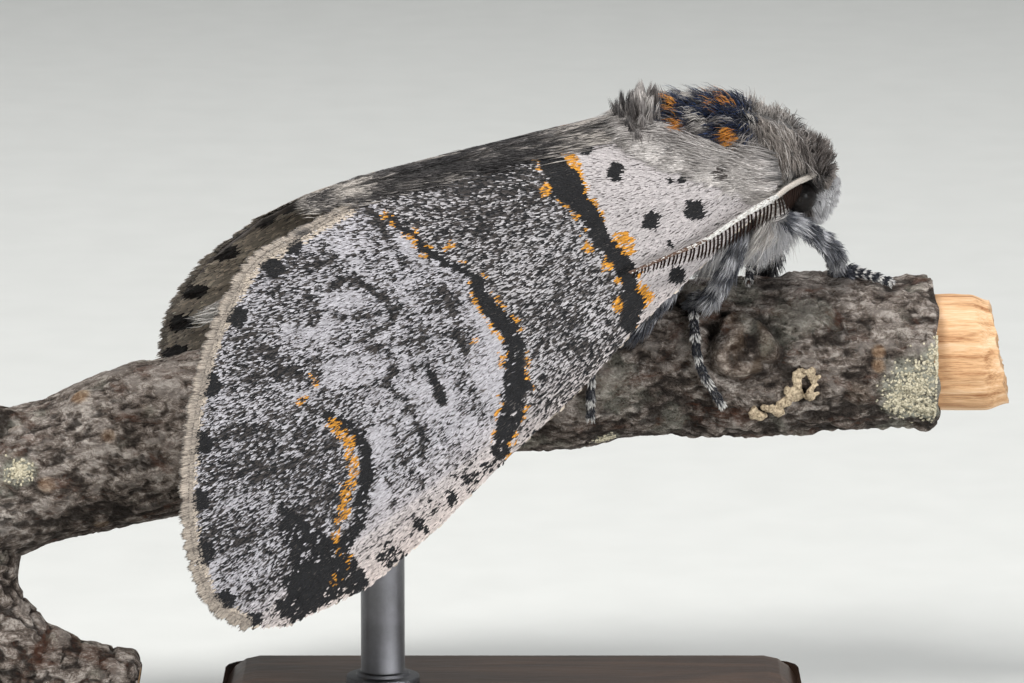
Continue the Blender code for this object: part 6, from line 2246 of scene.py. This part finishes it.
def build_crumb(finish, draw):
    """A dry, curled crumb of resin on the lower side of the twig."""
    places = np.array([twig_spot(x, y) for x, y in MARK_CRUMB])
    line = curve_at(places, np.linspace(0.0, 1.0, CRUMB_LUMPS))
    line = line + draw.normal(0, 0.075, line.shape) * (1.0, 22.0)
    above = 0.04 + 0.24 * cloud(np.stack([line[:, 0], line[:, 1] * 0.05], -1), 0.3, 111, 2)
    spots, out = on_bark(line[:, 0], np.radians(line[:, 1]), above)
    sizes = 0.05 + 0.12 * draw.uniform(0.0, 1.0, len(spots)) ** 1.5
    obj = piece("twig_crumb", *lumps(spots, sizes, out, draw, 0.85), finish, "bark")
    fuse(obj, CRUMB_VOXEL, 3)


# Stand


def deselect():
    bpy.ops.object.select_all(action="DESELECT")


def switch(mode):
    bpy.ops.object.mode_set(mode=mode)


def build_base(finish):
    """A flat base: a block with cut corners and softly rounded edges."""
    deselect()
    bpy.ops.mesh.primitive_cube_add(size=1.0, location=(0.0, 0.0, BASE_SIZE[2] / 2 * MM))
    base = bpy.context.active_object
    base.name = "stand_plate"
    switch("EDIT")
    bpy.ops.transform.resize(value=tuple(side * MM for side in BASE_SIZE))
    switch("OBJECT")
    for edge in base.data.edges:
        start, end = (base.data.vertices[index].co for index in edge.vertices)
        edge.select = abs(start.z - end.z) > 1e-6
    switch("EDIT")
    bpy.ops.mesh.select_mode(type="EDGE")
    bpy.ops.mesh.bevel(offset=BASE_CORNER * MM, segments=4, affect="EDGES")
    switch("OBJECT")
    for polygon in base.data.polygons:
        polygon.select = abs(polygon.normal.z) > 0.9
    switch("EDIT")
    bpy.ops.mesh.select_mode(type="FACE")
    bpy.ops.mesh.region_to_loop()
    bpy.ops.mesh.bevel(offset=BASE_EDGE * MM, segments=3, affect="EDGES")
    switch("OBJECT")
    bpy.ops.object.transform_apply(location=True, rotation=True, scale=True)
    bpy.ops.object.shade_smooth_by_angle(angle=math.radians(30.0))
    base.select_set(False)
    dress(base, finish, ("stand_base",))


def build_rod(finish):
    """The rod from the base into the twig, with a turned collar at its foot."""
    deselect()
    axis = layout(twig_frame(np.array(ROD_AT))[0])
    foot = BASE_SIZE[2]
    bpy.ops.mesh.primitive_cylinder_add(
        vertices=48,
        radius=COLLAR_RADIUS * MM,
        depth=COLLAR_HEIGHT * MM,
        location=(axis[0] * MM, axis[1] * MM, (foot + COLLAR_HEIGHT / 2) * MM),
    )
    rod = bpy.context.active_object
    rod.name = "stand_pin"
    switch("EDIT")
    bpy.ops.mesh.select_mode(type="FACE")
    bpy.ops.mesh.select_all(action="DESELECT")
    switch("OBJECT")
    for polygon in rod.data.polygons:
        polygon.select = polygon.normal.z > 0.9
    switch("EDIT")
    bpy.ops.mesh.inset(thickness=(COLLAR_RADIUS - ROD_RADIUS - COLLAR_GROOVE) * MM)
    bpy.ops.mesh.extrude_region_move(TRANSFORM_OT_translate={"value": (0.0, 0.0, COLLAR_STEP * MM)})
    bpy.ops.mesh.inset(thickness=COLLAR_GROOVE * MM)
    length = (axis[2] - foot - COLLAR_HEIGHT - COLLAR_STEP) / ROD_PARTS
    for _ in range(ROD_PARTS):
        bpy.ops.mesh.extrude_region_move(TRANSFORM_OT_translate={"value": (0.0, 0.0, length * MM)})
    switch("OBJECT")
    bpy.ops.object.transform_apply(location=True, rotation=True, scale=True)
    bevel = rod.modifiers.new("edges", "BEVEL")
    bevel.width = 0.07 * MM
    bevel.segments = 2
    bevel.limit_method = "ANGLE"
    bpy.ops.object.modifier_apply(modifier=bevel.name)
    bpy.ops.object.shade_smooth_by_angle(angle=math.radians(40.0))
    rod.select_set(False)
    dress(rod, finish, ("stand_rod",))


# Studio


def build_studio():
    """A pale floor that sweeps up behind, soft lights and the camera of the photograph."""
    deselect()
    bpy.ops.mesh.primitive_plane_add(size=1.6, location=(0.0, -0.1, 0.0))
    floor = bpy.context.active_object
    floor.name = "studio_floor"
    bpy.ops.object.transform_apply(location=True)
    for edge in floor.data.edges:
        edge.select = all(floor.data.vertices[index].co.y > 0.5 for index in edge.vertices)
    for vertex in floor.data.vertices:
        vertex.select = vertex.co.y > 0.5
    for polygon in floor.data.polygons:
        polygon.select = False
    switch("EDIT")
    bpy.ops.mesh.select_mode(type="EDGE")
    bpy.ops.mesh.extrude_region_move(TRANSFORM_OT_translate={"value": (0.0, 0.0, 0.9)})
    switch("OBJECT")
    for edge in floor.data.edges:
        places = [floor.data.vertices[index].co for index in edge.vertices]
        edge.select = all(place.y > 0.5 and abs(place.z) < 1e-6 for place in places)
    switch("EDIT")
    bpy.ops.mesh.bevel(offset=0.35, segments=16, affect="EDGES")
    switch("OBJECT")
    bpy.ops.object.shade_smooth()
    floor.select_set(False)
    floor.data.materials.append(floor_finish().material)

    for name, place, size, watts, colour in LIGHTS:
        light = bpy.data.lights.new(name, "AREA")
        light.shape = "DISK"
        light.size = size * MM
        light.energy = watts
        light.color = colour
        lamp = bpy.data.objects.new(name, light)
        bpy.context.scene.collection.objects.link(lamp)
        lamp.location = [value * MM for value in place]
        aim(lamp, LAYOUT_ORIGIN * MM)
    world = bpy.data.worlds.new("soft room")
    bpy.context.scene.world = world
    world.use_nodes = True
    background = world.node_tree.nodes["Background"]
    background.inputs["Color"].default_value = ROOM_COLOUR
    background.inputs["Strength"].default_value = ROOM_STRENGTH

    camera = bpy.data.cameras.new("camera")
    holder = bpy.data.objects.new("camera", camera)
    bpy.context.scene.collection.objects.link(holder)
    bpy.context.scene.camera = holder
    holder.location = (LAYOUT_ORIGIN + CAMERA_DISTANCE * SIGHT) * MM
    aim(holder, LAYOUT_ORIGIN * MM)
    camera.sensor_width = SENSOR_WIDTH
    camera.lens = SENSOR_WIDTH * CAMERA_DISTANCE / (PHOTO_WIDTH / PIXELS_PER_MM)
    camera.clip_start = 0.01
    camera.clip_end = 10.0
    bpy.context.scene.view_settings.view_transform = "Standard"


def aim(obj, target):
    """Turns a light or camera so that it looks at the target, level."""
    obj.rotation_euler = (Vector(target) - obj.location).to_track_quat("-Z", "Y").to_euler()


def main():
    draw = np.random.default_rng(7)
    scales = scale_finish()
    wing_hair = hair_finish("fringe and ridge hair", 0.5, 0.68, 0.15)
    body_hair = hair_finish("body hair", 0.42, 0.6, 0.2)
    skin = skin_finish()
    bark = bark_finish()
    build_studio()
    build_wings(scales, wing_hair, draw)
    # Painted shade: the skin takes the coat's colours darkened to 0.55, standing for the shade under the
    # hair.
    build_skin(skin, lambda places: paint(body_tints(places, np.random.default_rng(3)) * 0.55))
    build_thorax_coat(body_hair, draw)
    build_fine_coat(body_hair, draw)
    build_collar_hair(body_hair, draw)
    build_crest(body_hair, draw)
    build_shoulder_hair(body_hair, draw)
    build_chest_hair(body_hair, draw)
    build_head_coat(body_hair, draw)
    build_abdomen_coat(body_hair, draw)
    claws = horn_finish("claws", (28, 18, 14), (72, 48, 34), 0.05)
    for order, name in enumerate(LEGS):
        build_leg_coat(name, order, body_hair, claws, draw)
    eye = eye_finish()
    shaft = horn_finish("feeler shaft", (164, 152, 140), (206, 200, 192), 0.05)
    teeth = horn_finish("comb teeth", (14, 9, 7), (40, 25, 19), 0.06, 0.1)
    for hand, side in (("right", -1), ("left", 1)):
        build_eye(hand, side, eye)
        build_feeler(hand, side, shaft, teeth, scales, draw)
    build_twig(bark, wood_finish("bare wood", 0.4), end_grain_finish())
    build_lichen(crust_finish("lichen", (132, 124, 102), (214, 206, 182), 0.12), draw)
    build_crumb(crust_finish("dry resin", (80, 64, 48), (204, 186, 158), 0.14), draw)
    build_base(stand_wood_finish())
    build_rod(stand_metal_finish())


main()
